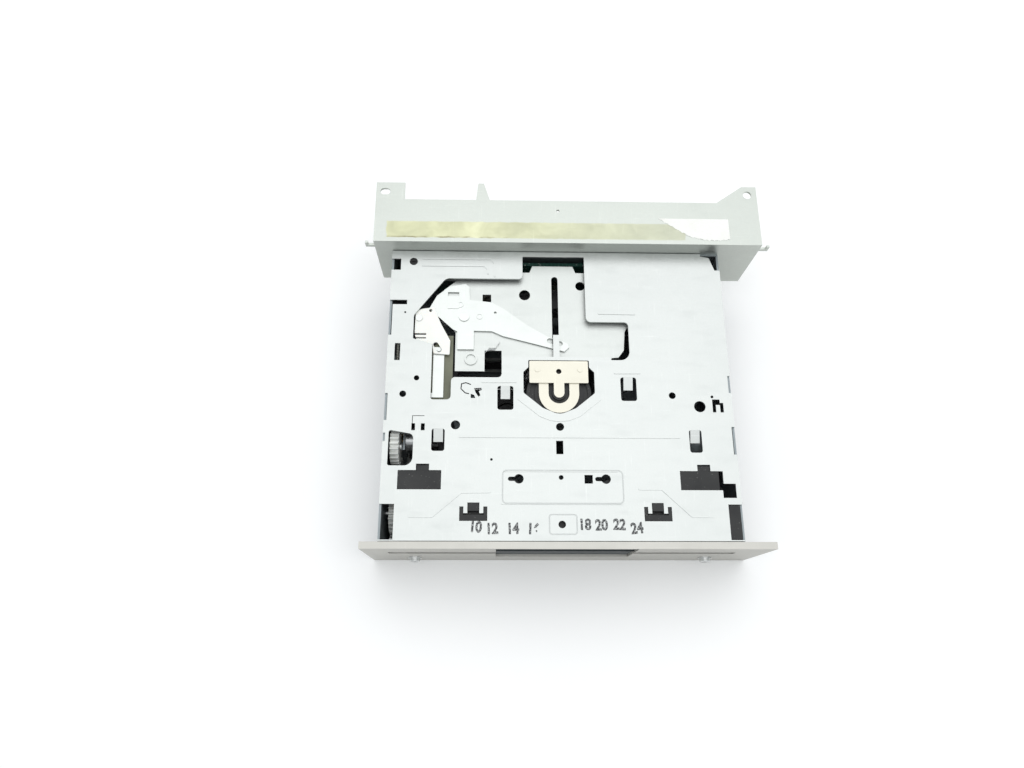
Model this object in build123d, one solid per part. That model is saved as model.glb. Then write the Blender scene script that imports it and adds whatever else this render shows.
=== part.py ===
"""Six-disc in-dash compact disc changer deck, bare of its outer radio case. Sizes are in millimetres.

X runs to the right, Y to the rear and Z up. The front plate with the disc slot faces -Y. The origin
is on the turntable axis, on the flat underside that the deck rests on.
"""

import os
from math import atan2, cos, degrees, hypot, pi, radians, sin, sqrt, tau

from build123d import *

# ---- the deck ----
disc_radius = 60.0          # the compact disc that everything is built round
side_room = 22.5            # beside the disc: lift screws and gear train
front_room = 9.5            # in front of the disc: loading roller
rear_room = 14.6            # behind the disc: main board and lift motor
deck_height = 50.0
lid_gauge = 1.0
chassis_gauge = 1.0
running_gap = 0.05          # radial clearance of a shaft in its bore
slide_gap = 0.3             # clearance between flat pieces that pass each other

# ---- front plate ----
plate_gauge = 1.2
plate_left_overhang = 8.1
plate_right_overhang = 14.2
plate_flange = 3.3
slot_height = 6.0
slot_centre_z = 33.0
plate_slot_left_end = 3.1   # left side of the deck to the slot's end
plate_slot_right_end = 0.5
chassis_slot_end = 4.5
window_left = 29.7
window_right = 34.5
window_foot_z = 17.0
front_screw_left_inset = 13.6
front_screw_right_inset = 9.6
front_screw_z = 14.5
screw_shank_radius = 1.3
screw_head_radius = 2.6
screw_head_height = 1.7

# ---- rear bracket ----
bracket_gauge = 1.2
bracket_left_overhang = 8.4
bracket_right_overhang = 19.7
bracket_rise = 9.3          # bracket top above the lid
bracket_drop = 30.8         # bracket foot below the lid
shelf_depth = 23.8          # wall to the shelf's rear edge
ear_reach = 9.6             # ears and tab behind the shelf
ear_slot_width = 3.6
ear_slot_length = 5.0
ear_hole_radius = 2.15
hook_reach = 4.4

# ---- disc trays and their lift ----
tray_count = 6
tray_pitch = 2.4
tray_gauge = 1.2
tray_rim = 1.8              # rim outside the disc
tray_ledge = 8.4            # ledge under the disc
tray_seat_depth = 0.6
first_tray_z = 20.0
lift_travel = 11.0
lift_screw_out = 8.0        # screw axes beyond the disc's side
lift_screw_y = 39.2
screw_core_radius = 2.4
thread_height = 0.8
thread_lead = 8.0
thread_width = 1.4
screw_gear_teeth = 23
ring_module = 1.0
ring_thickness = 2.0
ring_rim = 3.0
ring_lift = 0.3             # ring above the floor
pinion_teeth = 8
elevator_motor_angle = 65.0
elevator_motor_length = 16.0
motor_radius = 6.0

# ---- loading roller and its gear train ----
roller_inset = 3.2          # lid's front edge to the roller's axis
roller_z = 28.8
roller_shaft_radius = 1.5
roller_radius = 3.4
roller_waist_radius = 3.0
roller_inner_x = 12.0
roller_out = 2.0            # sleeves' ends beyond the disc's side
train_module = 0.75
train_width = 4.0
train_wall_gap = 2.3        # side wall to the gears
upper_gear_teeth = 20
idler_teeth = 24
roller_gear_teeth = 9
upper_gear_reach = 41.5     # roller axis to the upper gear's axis, along Y
upper_gear_below_lid = 0.4  # tooth tips below the lid's top face
stud_radius = 1.2
loading_motor_angle = -60.0
loading_motor_length = 11.5

# ---- playing unit ----
unit_out = 14.0             # the base beyond the disc's side
unit_right = 24.0
unit_front = 22.6
unit_rear = 29.5
frame_gauge = 1.0
frame_z = 4.2
damper_height = 3.4
damper_radius = 2.2
base_thickness = 2.5
disc_lift_off = 0.1         # platter above the first tray's disc seat, unit raised
frame_overhang = 2.0        # frame beyond the base at the left
spindle_motor_radius = 12.0
spindle_motor_height = 4.8
spindle_radius = 1.0
turntable_radius = 14.5
turntable_height = 2.0
hub_radius = 7.4
hub_height = 3.0
rod_radius = 1.5
rod_offset = 15.5
rod_drop = 1.7              # rod axis below the base
lens_start = 24.0           # turntable axis to the lens, sled at the inner stop
sled_half = 9.0
sled_end = 2.0              # disc's side to the lens, sled at the outer stop
lens_radius = 2.0
feed_screw_y = 22.0
feed_screw_radius = 1.1
feed_motor_radius = 3.8
feed_motor_length = 11.5

# ---- mechanism under the lid ----
plate_drop = 3.6            # mechanism plate's top below the lid's top
mech_gauge = 1.0
arm_gauge = 0.8
arm_gap = 0.3
arm_pivot_x = -46.0
arm_pivot_y = 40.0
stop_pin_x = -0.9
stop_pin_y = 26.6
stop_pin_radius = 0.9
stop_travel = 29.4
guide_slot_width = 3.2
selector_pivot_x = -67.9
selector_pivot_y = 38.5
bar_travel = 3.0

# ---- disc clamp ----
clamper_radius = 15.5
clamper_flange = 2.0
clamper_hub_radius = 7.2
clamper_hub_height = 5.4
clamp_arm_gauge = 0.8
clamp_spring_gauge = 0.5
clamp_spring_radius = 9.6
clamp_spring_bore = 5.0

# ---- small spring at the left ----
spring_wire = 0.18
spring_coil = 0.95
spring_pitch = 0.8
spring_turns = 11
spring_inset = 4.85         # lid's left edge to the spring's axis
spring_front = 15.9

# ---- places worked out from the sizes above ----
lid_top = deck_height
lid_under = lid_top - lid_gauge
half_width = disc_radius + side_room
front_depth = disc_radius + front_room      # turntable axis to the lid's front edge
rear_depth = disc_radius + rear_room        # turntable axis to the lid's rear edge
wall_in = half_width - chassis_gauge
front_out = -front_depth - plate_flange + 1.0
front_in = front_out + chassis_gauge
face_y = front_out - plate_gauge
rear_out = rear_depth + slide_gap
rear_in = rear_out - chassis_gauge
bracket_back = rear_out + bracket_gauge
shelf_top = lid_top + bracket_rise
mech_top = lid_top - plate_drop
mech_under = mech_top - mech_gauge
front_screw_left_x = -half_width + front_screw_left_inset
front_screw_right_x = half_width - front_screw_right_inset
lift_screw_x = disc_radius + lift_screw_out
ring_z = chassis_gauge + ring_lift
ring_teeth = 2 * int(hypot(lift_screw_x, lift_screw_y) / ring_module - screw_gear_teeth / 2 + 0.02)
ring_radius = ring_teeth * ring_module / 2
unit_left = disc_radius + unit_out
screw_gear_tip = (screw_gear_teeth / 2 + 0.8) * ring_module
screw_limit = min(lift_screw_x, -selector_pivot_x)     # the rear screws or the selector's pivot, the nearer one
frame_pin_places = (-disc_radius + 16.0, 14.0)
sled_travel = disc_radius - sled_end - lens_start
roller_y = -front_depth + roller_inset
roller_outer_x = disc_radius + roller_out
upper_gear_y = roller_y + upper_gear_reach
tray_radius = disc_radius + tray_rim
thread_radius = screw_core_radius + thread_height
screw_top = mech_under - 0.4
screw_pin_radius = 1.2
screw_pin_length = 1.4
gear_left = -wall_in + train_wall_gap
gear_right = gear_left + train_width
disc_plane = first_tray_z + tray_pitch * (tray_count - 1) + tray_seat_depth
base_z = frame_z + frame_gauge + damper_height
base_top = base_z + base_thickness
rod_z = base_z - rod_drop
platter_z = base_top + 0.6
platter_top = platter_z + turntable_height
play_lift = first_tray_z + tray_gauge - tray_seat_depth - platter_top + disc_lift_off
bracket_front = front_in + 2.1
spring_x = -half_width + spring_inset
spring_z = lid_under - 1.6
spring_length = spring_pitch * spring_turns


# ---- shared shapes ----
def box(x0, x1, y0, y1, z0, z1):
    """A block between two corners."""
    return Pos((x0 + x1) / 2, (y0 + y1) / 2, (z0 + z1) / 2) * Box(x1 - x0, y1 - y0, z1 - z0)


def post(x, y, z0, z1, radius):
    """An upright cylinder."""
    return Pos(x, y, (z0 + z1) / 2) * Cylinder(radius, z1 - z0)


def bar_x(x0, x1, y, z, radius):
    """A cylinder along X."""
    return Pos((x0 + x1) / 2, y, z) * Rot(0, 90, 0) * Cylinder(radius, x1 - x0)


def bar_y(x, y0, y1, z, radius):
    """A cylinder along Y."""
    return Pos(x, (y0 + y1) / 2, z) * Rot(90, 0, 0) * Cylinder(radius, y1 - y0)


def slab(points, z0, z1, radius=0.0):
    """A flat plate with the outline's corners rounded, by one radius or by one for each corner."""
    if radius:
        outline = FilletPolyline(*points, radius=radius, close=True)
    else:
        outline = Polyline(*points, close=True)
    return Pos(0, 0, z0) * extrude(make_face(outline), z1 - z0)


def band_outline(line, width):
    """The outline of a band of one width along an open line of points, with mitred corners."""
    sides = ([], [])
    for i, (x, y) in enumerate(line):
        steps = [(line[j + 1][0] - line[j][0], line[j + 1][1] - line[j][1])
                 for j in (i - 1, i) if 0 <= j < len(line) - 1]
        normals = [(-dy / hypot(dx, dy), dx / hypot(dx, dy)) for dx, dy in steps]
        nx, ny = sum(n[0] for n in normals), sum(n[1] for n in normals)
        reach = width / 2 * len(normals) / (nx * nx + ny * ny)
        sides[0].append((x + nx * reach, y + ny * reach))
        sides[1].append((x - nx * reach, y - ny * reach))
    return sides[0] + sides[1][::-1]


def stadium(x0, y0, x1, y1, width, z0, z1):
    """A slot-shaped bar between two end centres."""
    length = hypot(x1 - x0, y1 - y0)
    turn = degrees(atan2(y1 - y0, x1 - x0))
    shape = extrude(SlotCenterToCenter(length, width), z1 - z0)
    return Pos((x0 + x1) / 2, (y0 + y1) / 2, z0) * Rot(0, 0, turn) * shape


def gear(teeth, module, width, bore):
    """A spur gear standing on the XY plane, with one tooth centred on +X and flat flanks."""
    pitch_radius = teeth * module / 2
    root = pitch_radius - 1.05 * module
    tip = pitch_radius + 0.8 * module
    step = tau / teeth
    outline = []
    for number in range(teeth):
        for radius, share in ((root, -0.28), (tip, -0.11), (tip, 0.11), (root, 0.28)):
            angle = (number + share) * step
            outline.append((radius * cos(angle), radius * sin(angle)))
    blank = extrude(make_face(Polyline(*outline, close=True)), width)
    return blank - Pos(0, 0, width / 2) * Cylinder(bore, 2 * width)


def mesh_phase(teeth_a, phase_a, teeth_b, direction):
    """The turn of gear b, in radians, that meshes with gear a, whose mate lies in that direction."""
    return direction + pi + pi / teeth_b - (phase_a - direction) * teeth_a / teeth_b


def linked_centre(start, end, start_distance, end_distance, side):
    """The point at two given distances from two centres, on one side of the line between them."""
    span = hypot(end[0] - start[0], end[1] - start[1])
    along = (start_distance**2 - end_distance**2 + span**2) / (2 * span)
    across = side * sqrt(start_distance**2 - along**2)
    unit = ((end[0] - start[0]) / span, (end[1] - start[1]) / span)
    return (start[0] + along * unit[0] - across * unit[1], start[1] + along * unit[1] + across * unit[0])


def screw_fastener(x, z, shank_length, washer):
    """A pan-head screw along Y, its head towards -Y and its seat at y = 0, with or without a washer."""
    head = bar_y(x, -screw_head_height - washer, -washer, z, screw_head_radius)
    head = fillet(head.edges().group_by(Axis.Y)[0], 0.6)
    slot_half = 0.35
    slots = box(x - 1.6, x + 1.6, -screw_head_height - washer - 1, -washer - 0.9, z - slot_half, z + slot_half)
    slots += box(x - slot_half, x + slot_half, -screw_head_height - washer - 1, -washer - 0.9, z - 1.6, z + 1.6)
    body = head - slots + bar_y(x, -washer, shank_length, z, screw_shank_radius)
    if washer:
        body += bar_y(x, -washer, 0, z, screw_head_radius + 0.9)
    return body


def save(node, *solids):
    """Writes one node."""
    export_step(solids[0] if len(solids) == 1 else Compound(list(solids)), f"parts/{node}.step")


# ---- lid ----
# The big cut-out: left side, slanted corner, rear tongue slot, right step, front edge and slide-bar leg.
cut_out = [
    (-70.4, 27.2), (-70.4, 39.6), (-55.2, 59.6), (-17.1, 59.6), (-17.1, rear_depth - 2.6),
    (13.9, rear_depth - 2.6), (13.9, 36.6), (34.6, 36.6), (34.6, 16.7), (25.4, 16.7), (25.4, 18.2),
    (-27.4, 18.2), (-27.4, 7.5), (-51.5, 7.5), (-51.5, -3.7), (-61.0, -3.7), (-61.0, 24.4),
]
cut_out_radii = [0.5, 3.0, 4.0, 2.0, 0.4, 0.4, 2.5, 2.0, 4.5, 0.4, 0.4, 0.4, 2.0, 2.0, 2.0, 1.2, 1.0]
clamp_hole = [
    (-14.6, 16.4), (-14.6, 12.8), (-17.0, 10.4), (-17.0, -0.1), (-7.9, -7.6), (0.0, -10.9),
    (7.9, -7.6), (17.0, -0.1), (17.0, 10.4), (14.6, 12.8), (14.6, 16.4),
]
clamp_hole_radii = [0.4, 0.8, 0.8, 1.5, 4.0, 7.0, 4.0, 1.5, 0.8, 0.8, 0.4]
# A small tab partly freed by a slit round its left end, with two notches at its right.
tab_slit = [(-42.0, 3.8), (-44.4, 4.7), (-46.4, 4.2), (-46.7, 1.7), (-44.6, -0.4), (-42.8, -0.8)]
tab_slit_width = 0.5
tab_notches = [
    [(-42.0, -0.8), (-42.0, -2.9), (-39.8, -2.9), (-40.4, -1.4)],
    [(-40.5, 2.0), (-39.8, 0.0), (-38.4, -2.2), (-37.4, -1.6), (-38.2, 0.4), (-36.8, 1.2), (-37.0, 2.2)],
]
lid_round_holes = [
    (-67.9, 7.0, 1.3), (-half_width + 8.4, -1.0, 1.6), (-48.9, -16.1, 2.2), (53.9, -1.1, 1.65),
    (half_width - 15.8, -6.5, 2.75), (0.0, -16.8, 1.9), (0.0, -front_depth + 28.7, 1.1),
    (0.0, -front_depth + 7.3, 1.7), (-half_width + 7.8, 41.0, 0.5), (half_width - 9.6, -1.6, 0.7),
    (-32.0, -front_depth + 37.0, 0.6),
]
spring_tongues = [
    (-29.4, -21.8, -8.6, 3.2), (29.4, 37.0, -3.9, 7.9),
    (-half_width + 22.6, -half_width + 28.7, upper_gear_y - 3.8, upper_gear_y + 6.9),
    (half_width - 22.0, half_width - 16.1, upper_gear_y - 4.1, upper_gear_y + 6.8),
]
lid_slots = [
    (-2.0, 1.3, -29.9, -23.5), (10.7, 14.5, -front_depth + 25.9, -front_depth + 29.9),
    (-half_width + 13.1, -half_width + 14.8, upper_gear_y + 6.0, upper_gear_y + 9.4),
    (-half_width + 17.5, -half_width + 19.3, upper_gear_y + 6.0, upper_gear_y + 9.4),
    (-half_width + 13.3, -half_width + 13.6, upper_gear_y + 9.0, upper_gear_y + 13.2),
    (-half_width + 13.4, -half_width + 19.0, upper_gear_y + 12.9, upper_gear_y + 13.2),
]
# Slots beside the left and right edges: start and end measured inwards from the edge, then front and rear.
left_edge_slots = [
    (-0.1, 1.5, 29.0, 47.6), (-0.1, 8.5, 45.2, 47.6), (3.5, 6.2, 15.9, 24.7), (-0.1, 1.3, -13.9, -0.7),
    (-0.1, 1.1, upper_gear_y + 0.8, upper_gear_y + 4.8),
]
right_edge_slots = [
    (-0.1, 1.3, 0.4, 9.0), (-0.1, 1.6, -29.7, -16.4), (2.2, 8.3, -front_depth + 19.5, -front_depth + 26.1),
    (8.1, 9.7, -9.3, -2.9), (4.5, 6.1, -9.3, -4.6), (6.1, 8.1, -5.6, -2.9),
]
keyholes = [(-20.8, -front_depth + 28.0), (19.2, -front_depth + 28.0)]
guide_windows = [(-half_width + 7.7, -half_width + 27.6), (half_width - 27.6, half_width - 7.7)]
guide_window_front = -front_depth + 23.0
guide_window_rear = -front_depth + 31.9
latch_centres = [-40.0, 43.7]
latch_half = 6.3
latch_front = -front_depth + 8.8
latch_rear = -front_depth + 15.3
gear_cut = [(-half_width + 2.7, upper_gear_y + 6.2), (-half_width + 14.2, upper_gear_y + 4.2),
            (-half_width + 14.2, upper_gear_y - 10.7), (-half_width + 2.7, upper_gear_y - 10.7)]
plate_screw_place = (-half_width + 10.9, rear_depth - 5.9)
plate_rivet_places = [(half_width - 10.9, rear_depth - 8.6), (screw_limit - 15.9, 24.0)]
plate_spacer_radius = 3.0
bead_height = 0.25
bead_width = 0.9
# Stiffening beads: those near the front, the rear and the middle.
beads = [[(x, y - front_depth) for x, y in line] for line in (
    [(-26.0, 31.7), (26.0, 31.7)],
    [(-27.0, 16.7), (27.5, 16.7)],
    [(-69.0, 10.7), (-58.7, 10.7), (-45.7, 21.7), (-32.7, 21.9)],
    [(69.0, 10.9), (59.1, 11.0), (46.1, 23.4), (35.8, 23.4)],
)]
beads += [[(x, y + rear_depth) for x, y in line] for line in (
    [(-half_width + 15.5, -4.2), (-33.0, -4.2), (-31.0, -6.6), (-31.0, -13.7)],
    [(-half_width + 15.5, -8.0), (-36.0, -8.0), (-34.4, -9.8), (-34.4, -12.2)],
)]
beads += [
    [(-46.7, -21.7), (55.9, -21.7)],
    [(20.4, 41.2), (38.2, 41.0)],
    [(-36.6, 5.2), (-20.7, 5.3)],
    [(27.0, 10.1), (38.9, 10.2)],
    [(-19.4, -3.2), (-9.4, -11.3), (-4.6, -13.3), (0.0, -13.9), (4.6, -13.3), (9.4, -11.3), (19.4, -3.2)],
]


def lid_bead(points):
    """A raised stiffening bead pressed into the lid."""
    pieces = []
    for (x0, y0), (x1, y1) in zip(points, points[1:]):
        pieces.append(stadium(x0, y0, x1, y1, bead_width, lid_top - lid_gauge / 2, lid_top + bead_height))
    return pieces


def make_lid():
    lid = box(-half_width, half_width, -front_depth, rear_depth, lid_under, lid_top)
    z0 = lid_under - 1
    z1 = lid_top + 1
    cuts = [slab(cut_out, z0, z1, cut_out_radii), slab(clamp_hole, z0, z1, clamp_hole_radii)]
    cuts.append(slab(band_outline(tab_slit, tab_slit_width), z0, z1))
    cuts += [slab(notch, z0, z1) for notch in tab_notches]
    cuts += [post(x, y, z0, z1, radius) for x, y, radius in lid_round_holes]
    cuts += [box(x0, x1, y0, y1, z0, z1) for x0, x1, y0, y1 in lid_slots]
    cuts += [box(-half_width + near, -half_width + far, y0, y1, z0, z1) for near, far, y0, y1 in left_edge_slots]
    cuts += [box(half_width - far, half_width - near, y0, y1, z0, z1) for near, far, y0, y1 in right_edge_slots]
    cuts += [slab([(x0, y0), (x1, y0), (x1, y1), (x0, y1)], z0, z1, 1.2) for x0, x1, y0, y1 in spring_tongues]
    cuts += [stadium(x - 2.6, y, x + 2.6, y, 2.0, z0, z1) for x, y in keyholes]
    cuts += [post(x + 1.4, y, z0, z1, 2.2) for x, y in keyholes]
    for x0, x1 in guide_windows:
        middle = (x0 + x1) / 2
        cuts.append(box(x0, x1, guide_window_front, guide_window_rear, z0, z1))
        cuts.append(box(middle - 1.7, middle + 4.3, guide_window_rear - 0.5, guide_window_rear + 3.0, z0, z1))
    for x in latch_centres:
        cuts.append(box(x - latch_half, x + latch_half, latch_front, latch_rear - 3.0, z0, z1))
        cuts.append(box(x - 2.7, x + 2.7, latch_front, latch_rear + 1.8, z0, z1))
        cuts.append(box(x - latch_half, x - latch_half + 1.8, latch_front, latch_rear, z0, z1))
        cuts.append(box(x + latch_half - 1.8, x + latch_half, latch_front, latch_rear, z0, z1))
    cuts.append(slab(gear_cut, z0, z1, [1.0, 2.5, 4.0, 1.0]))
    corner_depth = 6.8
    corner_front = -front_depth + 0.5
    corner_rear = corner_front + 15.9
    cuts.append(box(-half_width - 1, -half_width + corner_depth, corner_front, corner_rear, z0, z1))
    cuts.append(box(half_width - corner_depth + 0.3, half_width + 1, corner_front, corner_rear + 0.1, z0, z1))
    cuts.append(box(-half_width - 1, -half_width + 4.6, rear_depth - 10.6, rear_depth - 4.4, z0, z1))
    cuts.append(slab([(half_width - 2.6, rear_depth - 9.2), (half_width + 1, rear_depth - 9.2),
                      (half_width + 1, rear_depth + 1),
                      (half_width - 9.3, rear_depth + 1), (half_width - 9.3, rear_depth - 1.4),
                      (half_width - 5.0, rear_depth - 2.2)], z0, z1))
    cuts.append(post(*plate_screw_place, z0, z1, plate_screw_head + 0.05))
    lid = lid - cuts
    lid += [piece for points in beads for piece in lid_bead(points)]
    # The finger that keeps the lever's tip down.
    lid += box(stop_pin_x - 1.5, stop_pin_x + 1.5, 17.5, 29.6, lid_under, lid_top)
    # The bent tongues in the four U-slots, each falling from its slot's rear edge.
    for x0, x1, y0, y1 in spring_tongues:
        middle = (x0 + x1) / 2
        fall = 1.6
        tongue = Plane(origin=(middle - 2.2, 0, 0), x_dir=(0, 1, 0), z_dir=(1, 0, 0)) * extrude(
            make_face(Polyline((y1 + 0.2, lid_under), (y1 + 0.2, lid_top), (y1 - 6.0, lid_top - fall),
                               (y1 - 6.0, lid_under - fall), close=True)), 4.4)
        lid += tongue
    # Two bent tabs that hold the small spring's ends.
    for y in (spring_front - 1.3, spring_front + spring_length + 0.5):
        outer = spring_x - 1.65
        lid += box(outer, outer + 1.4, y, y + 0.8, spring_z - 0.4, lid_top - 0.1)
        lid += box(outer, outer + 2.1, y, y + 0.8, spring_z + spring_coil - 0.5, spring_z + spring_coil + 0.5)
    return lid


# ---- bottom chassis ----
side_windows = [(8.0, 26.0, 22.0, 34.0), (34.0, 50.0, 22.0, 34.0), (-12.0, 2.0, 8.0, 16.0),
                (20.0, 38.0, 8.0, 14.0)]
side_holes = [(-45.0, 10.0, 3.0), (60.0, 12.0, 2.5), (60.0, 38.0, 2.0), (-5.0, 42.0, 1.6), (30.0, 42.0, 1.6)]
floor_holes = [(45.0, 0.0, 4.0), (-58.0, 58.0, 3.0), (58.0, 58.0, 3.0), (-58.0, -58.0, 3.0), (58.0, -58.0, 3.0)]
connector_spans = [(-52.0, -22.0), (-12.0, 10.0)]
connector_height = 9.0
connector_top = lid_top - bracket_drop - 4.2
connector_z = (connector_top - connector_height, connector_top)
bracket_screw_x = 62.0
bracket_screw_z = 32.0


def make_chassis():
    shell = box(-half_width, half_width, front_out, rear_out, 0, lid_under)
    shell -= box(-wall_in, wall_in, front_in, rear_in, chassis_gauge, lid_under + 1)
    shell -= box(-half_width - 1, half_width + 1, front_out - 1, -front_depth, lid_top - plate_gauge, lid_top)
    slot_foot = slot_centre_z - slot_height / 2
    slot_half = half_width - chassis_slot_end
    cuts = [box(-slot_half, slot_half, front_out - 1, front_in + 1, slot_foot, slot_foot + slot_height)]
    for side in (-1, 1):
        for y0, y1, z0, z1 in side_windows:
            cuts.append(box(side * half_width - 2, side * half_width + 2, y0, y1, z0, z1))
        for y, z, radius in side_holes:
            cuts.append(bar_x(side * half_width - 2, side * half_width + 2, y, z, radius))
        for y in (-lift_screw_y, lift_screw_y):
            cuts.append(post(side * lift_screw_x, y, -1, 2, screw_pin_radius + running_gap))
        cuts.append(bar_y(side * bracket_screw_x, rear_in - 1, rear_out + 1, bracket_screw_z, screw_shank_radius))
    cuts += [post(x, y, -1, 2, radius) for x, y, radius in floor_holes]
    for x0, x1 in connector_spans:
        cuts.append(box(x0 - 0.5, x1 + 0.5, rear_in - 1, rear_out + 1, connector_z[0] - 0.5, connector_z[1] + 0.5))
    for x in (front_screw_left_x, front_screw_right_x):
        cuts.append(bar_y(x, front_out - 1, front_in + 1, front_screw_z, screw_shank_radius))
    for y, z in train_centres:
        cuts.append(bar_x(-half_width - 1, -wall_in + 1, y, z, stud_radius))
    return shell - cuts


# ---- front plate ----
def make_front_plate():
    left = -half_width - plate_left_overhang
    right = half_width + plate_right_overhang
    plate = box(left, right, face_y, front_out, 0, lid_top)
    plate += box(left, right, face_y, -front_depth - slide_gap, lid_top - plate_gauge, lid_top)
    slot_foot = slot_centre_z - slot_height / 2
    cuts = [box(-half_width + plate_slot_left_end, half_width - plate_slot_right_end, face_y - 1, front_out + 0.01,
                slot_foot, slot_foot + slot_height)]
    cuts.append(box(-window_left, window_right, face_y - 1, front_out + 0.01, window_foot_z, lid_top - plate_gauge))
    for x in (front_screw_left_x, front_screw_right_x):
        cuts.append(bar_y(x, face_y - 1, front_out + 0.5, front_screw_z, screw_shank_radius + 0.1))
    return plate - cuts


def make_front_screws():
    washer = 0.6
    shank = plate_gauge + chassis_gauge + 2.0
    return [Pos(0, face_y, 0) * screw_fastener(x, front_screw_z, shank, washer)
            for x in (front_screw_left_x, front_screw_right_x)]


# ---- rear bracket ----
def make_rear_bracket():
    left = -half_width - bracket_left_overhang
    right = half_width + bracket_right_overhang
    shelf_rear = rear_out + shelf_depth
    ear_rear = shelf_rear + ear_reach
    foot = lid_top - bracket_drop
    wall = box(left, right, rear_out, bracket_back, foot, shelf_top)
    shelf = slab([
        (left, rear_out), (right, rear_out), (right, ear_rear), (right - 7.4, ear_rear),
        (right - 21.0, shelf_rear), (-33.7, shelf_rear), (-36.8, ear_rear), (-39.6, ear_rear),
        (-40.6, shelf_rear), (left + 14.4, shelf_rear), (left + 14.4, ear_rear), (left, ear_rear),
    ], shelf_top - bracket_gauge, shelf_top)
    body = wall + shelf
    # A small upturned hook at each end of the wall.
    for end, side in ((left, -1), (right, 1)):
        tip = end + side * hook_reach
        body += box(min(end, tip), max(end, tip), rear_out, bracket_back, shelf_top - 6.0, shelf_top - 4.2)
        body += box(min(tip, tip - side * 1.4), max(tip, tip - side * 1.4), rear_out, bracket_back,
                    shelf_top - 6.0, shelf_top - 2.0)
    slot_x = left + 4.6
    hole_x = right - 4.8
    ear_y = ear_rear - 5.2
    reach = (ear_slot_length - ear_slot_width) / 2
    z0 = shelf_top - bracket_gauge - 1
    cuts = [stadium(slot_x - reach, ear_y, slot_x + reach, ear_y, ear_slot_width, z0, shelf_top + 1)]
    cuts.append(post(hole_x, ear_y + 0.4, z0, shelf_top + 1, ear_hole_radius))
    cuts.append(post(0.5, bracket_back + 16.8, z0, shelf_top + 1, 0.8))
    for side in (-1, 1):
        cuts.append(bar_y(side * bracket_screw_x, rear_out - 1, bracket_back + 1, bracket_screw_z,
                          screw_shank_radius + 0.1))
    return body - cuts


def make_bracket_screws():
    shank = bracket_gauge + chassis_gauge + 1.5
    turned = [Rot(0, 0, 180) * screw_fastener(side * bracket_screw_x, bracket_screw_z, shank, 0.0)
              for side in (-1, 1)]
    return [Pos(0, bracket_back, 0) * solid for solid in turned]


def make_label():
    """The blank torn end of a paper strip stuck on the shelf."""
    paper = 0.15
    outline = [(51.3, 13.1), (86.0, 13.3), (86.4, 2.1), (78.6, 1.5), (66.2, 3.1), (58.1, 8.3)]
    return slab([(x, bracket_back + y) for x, y in outline], shelf_top, shelf_top + paper)


# ---- gear train on the left wall ----
upper_gear_radius = upper_gear_teeth * train_module / 2
idler_radius = idler_teeth * train_module / 2
roller_gear_radius = roller_gear_teeth * train_module / 2
motor_pinion_radius = pinion_teeth * train_module / 2
upper_gear_centre = (upper_gear_y, lid_top - upper_gear_below_lid - upper_gear_radius - 0.8 * train_module)
front_idler_angle = radians(20.0)
front_idler_distance = roller_gear_radius + idler_radius
front_idler_centre = (roller_y + front_idler_distance * cos(front_idler_angle),
                      roller_z + front_idler_distance * sin(front_idler_angle))
rear_idler_centre = linked_centre(front_idler_centre, upper_gear_centre, 2 * idler_radius,
                                  idler_radius + upper_gear_radius, -1)
motor_reach = upper_gear_radius + motor_pinion_radius
loading_motor_centre = (upper_gear_centre[0] + motor_reach * cos(radians(loading_motor_angle)),
                        upper_gear_centre[1] + motor_reach * sin(radians(loading_motor_angle)))
train_centres = [upper_gear_centre, rear_idler_centre, front_idler_centre]


def direction(start, end):
    """The direction from one centre to another, in radians."""
    return atan2(end[1] - start[1], end[0] - start[0])


def train_gear(teeth, centre, phase, bore):
    """A gear of the train, its axis along X."""
    blank = gear(teeth, train_module, train_width, bore)
    seat = Plane(origin=(gear_left, centre[0], centre[1]), x_dir=(0, 1, 0), z_dir=(1, 0, 0))
    return seat * (Rot(0, 0, degrees(phase)) * blank)


def make_train():
    """Upper gear, two idlers, roller gear and motor pinion, each turned so that its teeth mesh."""
    upper_phase = 0.0
    towards = direction(upper_gear_centre, rear_idler_centre)
    rear_phase = mesh_phase(upper_gear_teeth, upper_phase, idler_teeth, towards)
    towards = direction(rear_idler_centre, front_idler_centre)
    front_phase = mesh_phase(idler_teeth, rear_phase, idler_teeth, towards)
    towards = direction(front_idler_centre, (roller_y, roller_z))
    roller_phase = mesh_phase(idler_teeth, front_phase, roller_gear_teeth, towards)
    towards = direction(upper_gear_centre, loading_motor_centre)
    motor_phase = mesh_phase(upper_gear_teeth, upper_phase, pinion_teeth, towards)
    bore = stud_radius + running_gap
    upper = train_gear(upper_gear_teeth, upper_gear_centre, upper_phase, bore)
    rear = train_gear(idler_teeth, rear_idler_centre, rear_phase, bore)
    front = train_gear(idler_teeth, front_idler_centre, front_phase, bore)
    web_radius = idler_radius - 2.2 * train_module
    web = 0.9
    for offset in (gear_left - 1, gear_right - web):
        rear -= bar_x(offset, offset + 1 + web, *rear_idler_centre, web_radius) - bar_x(
            offset, offset + 1 + web, *rear_idler_centre, 2.6)
        front -= bar_x(offset, offset + 1 + web, *front_idler_centre, web_radius) - bar_x(
            offset, offset + 1 + web, *front_idler_centre, 2.6)
    roller_gear = train_gear(roller_gear_teeth, (roller_y, roller_z), roller_phase, roller_shaft_radius)
    pinion = train_gear(pinion_teeth, loading_motor_centre, motor_phase, 0.4)
    pinion += bar_x(gear_left, gear_right + 5.0, *loading_motor_centre, 0.8)
    return upper, rear, front, roller_gear, pinion


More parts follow.
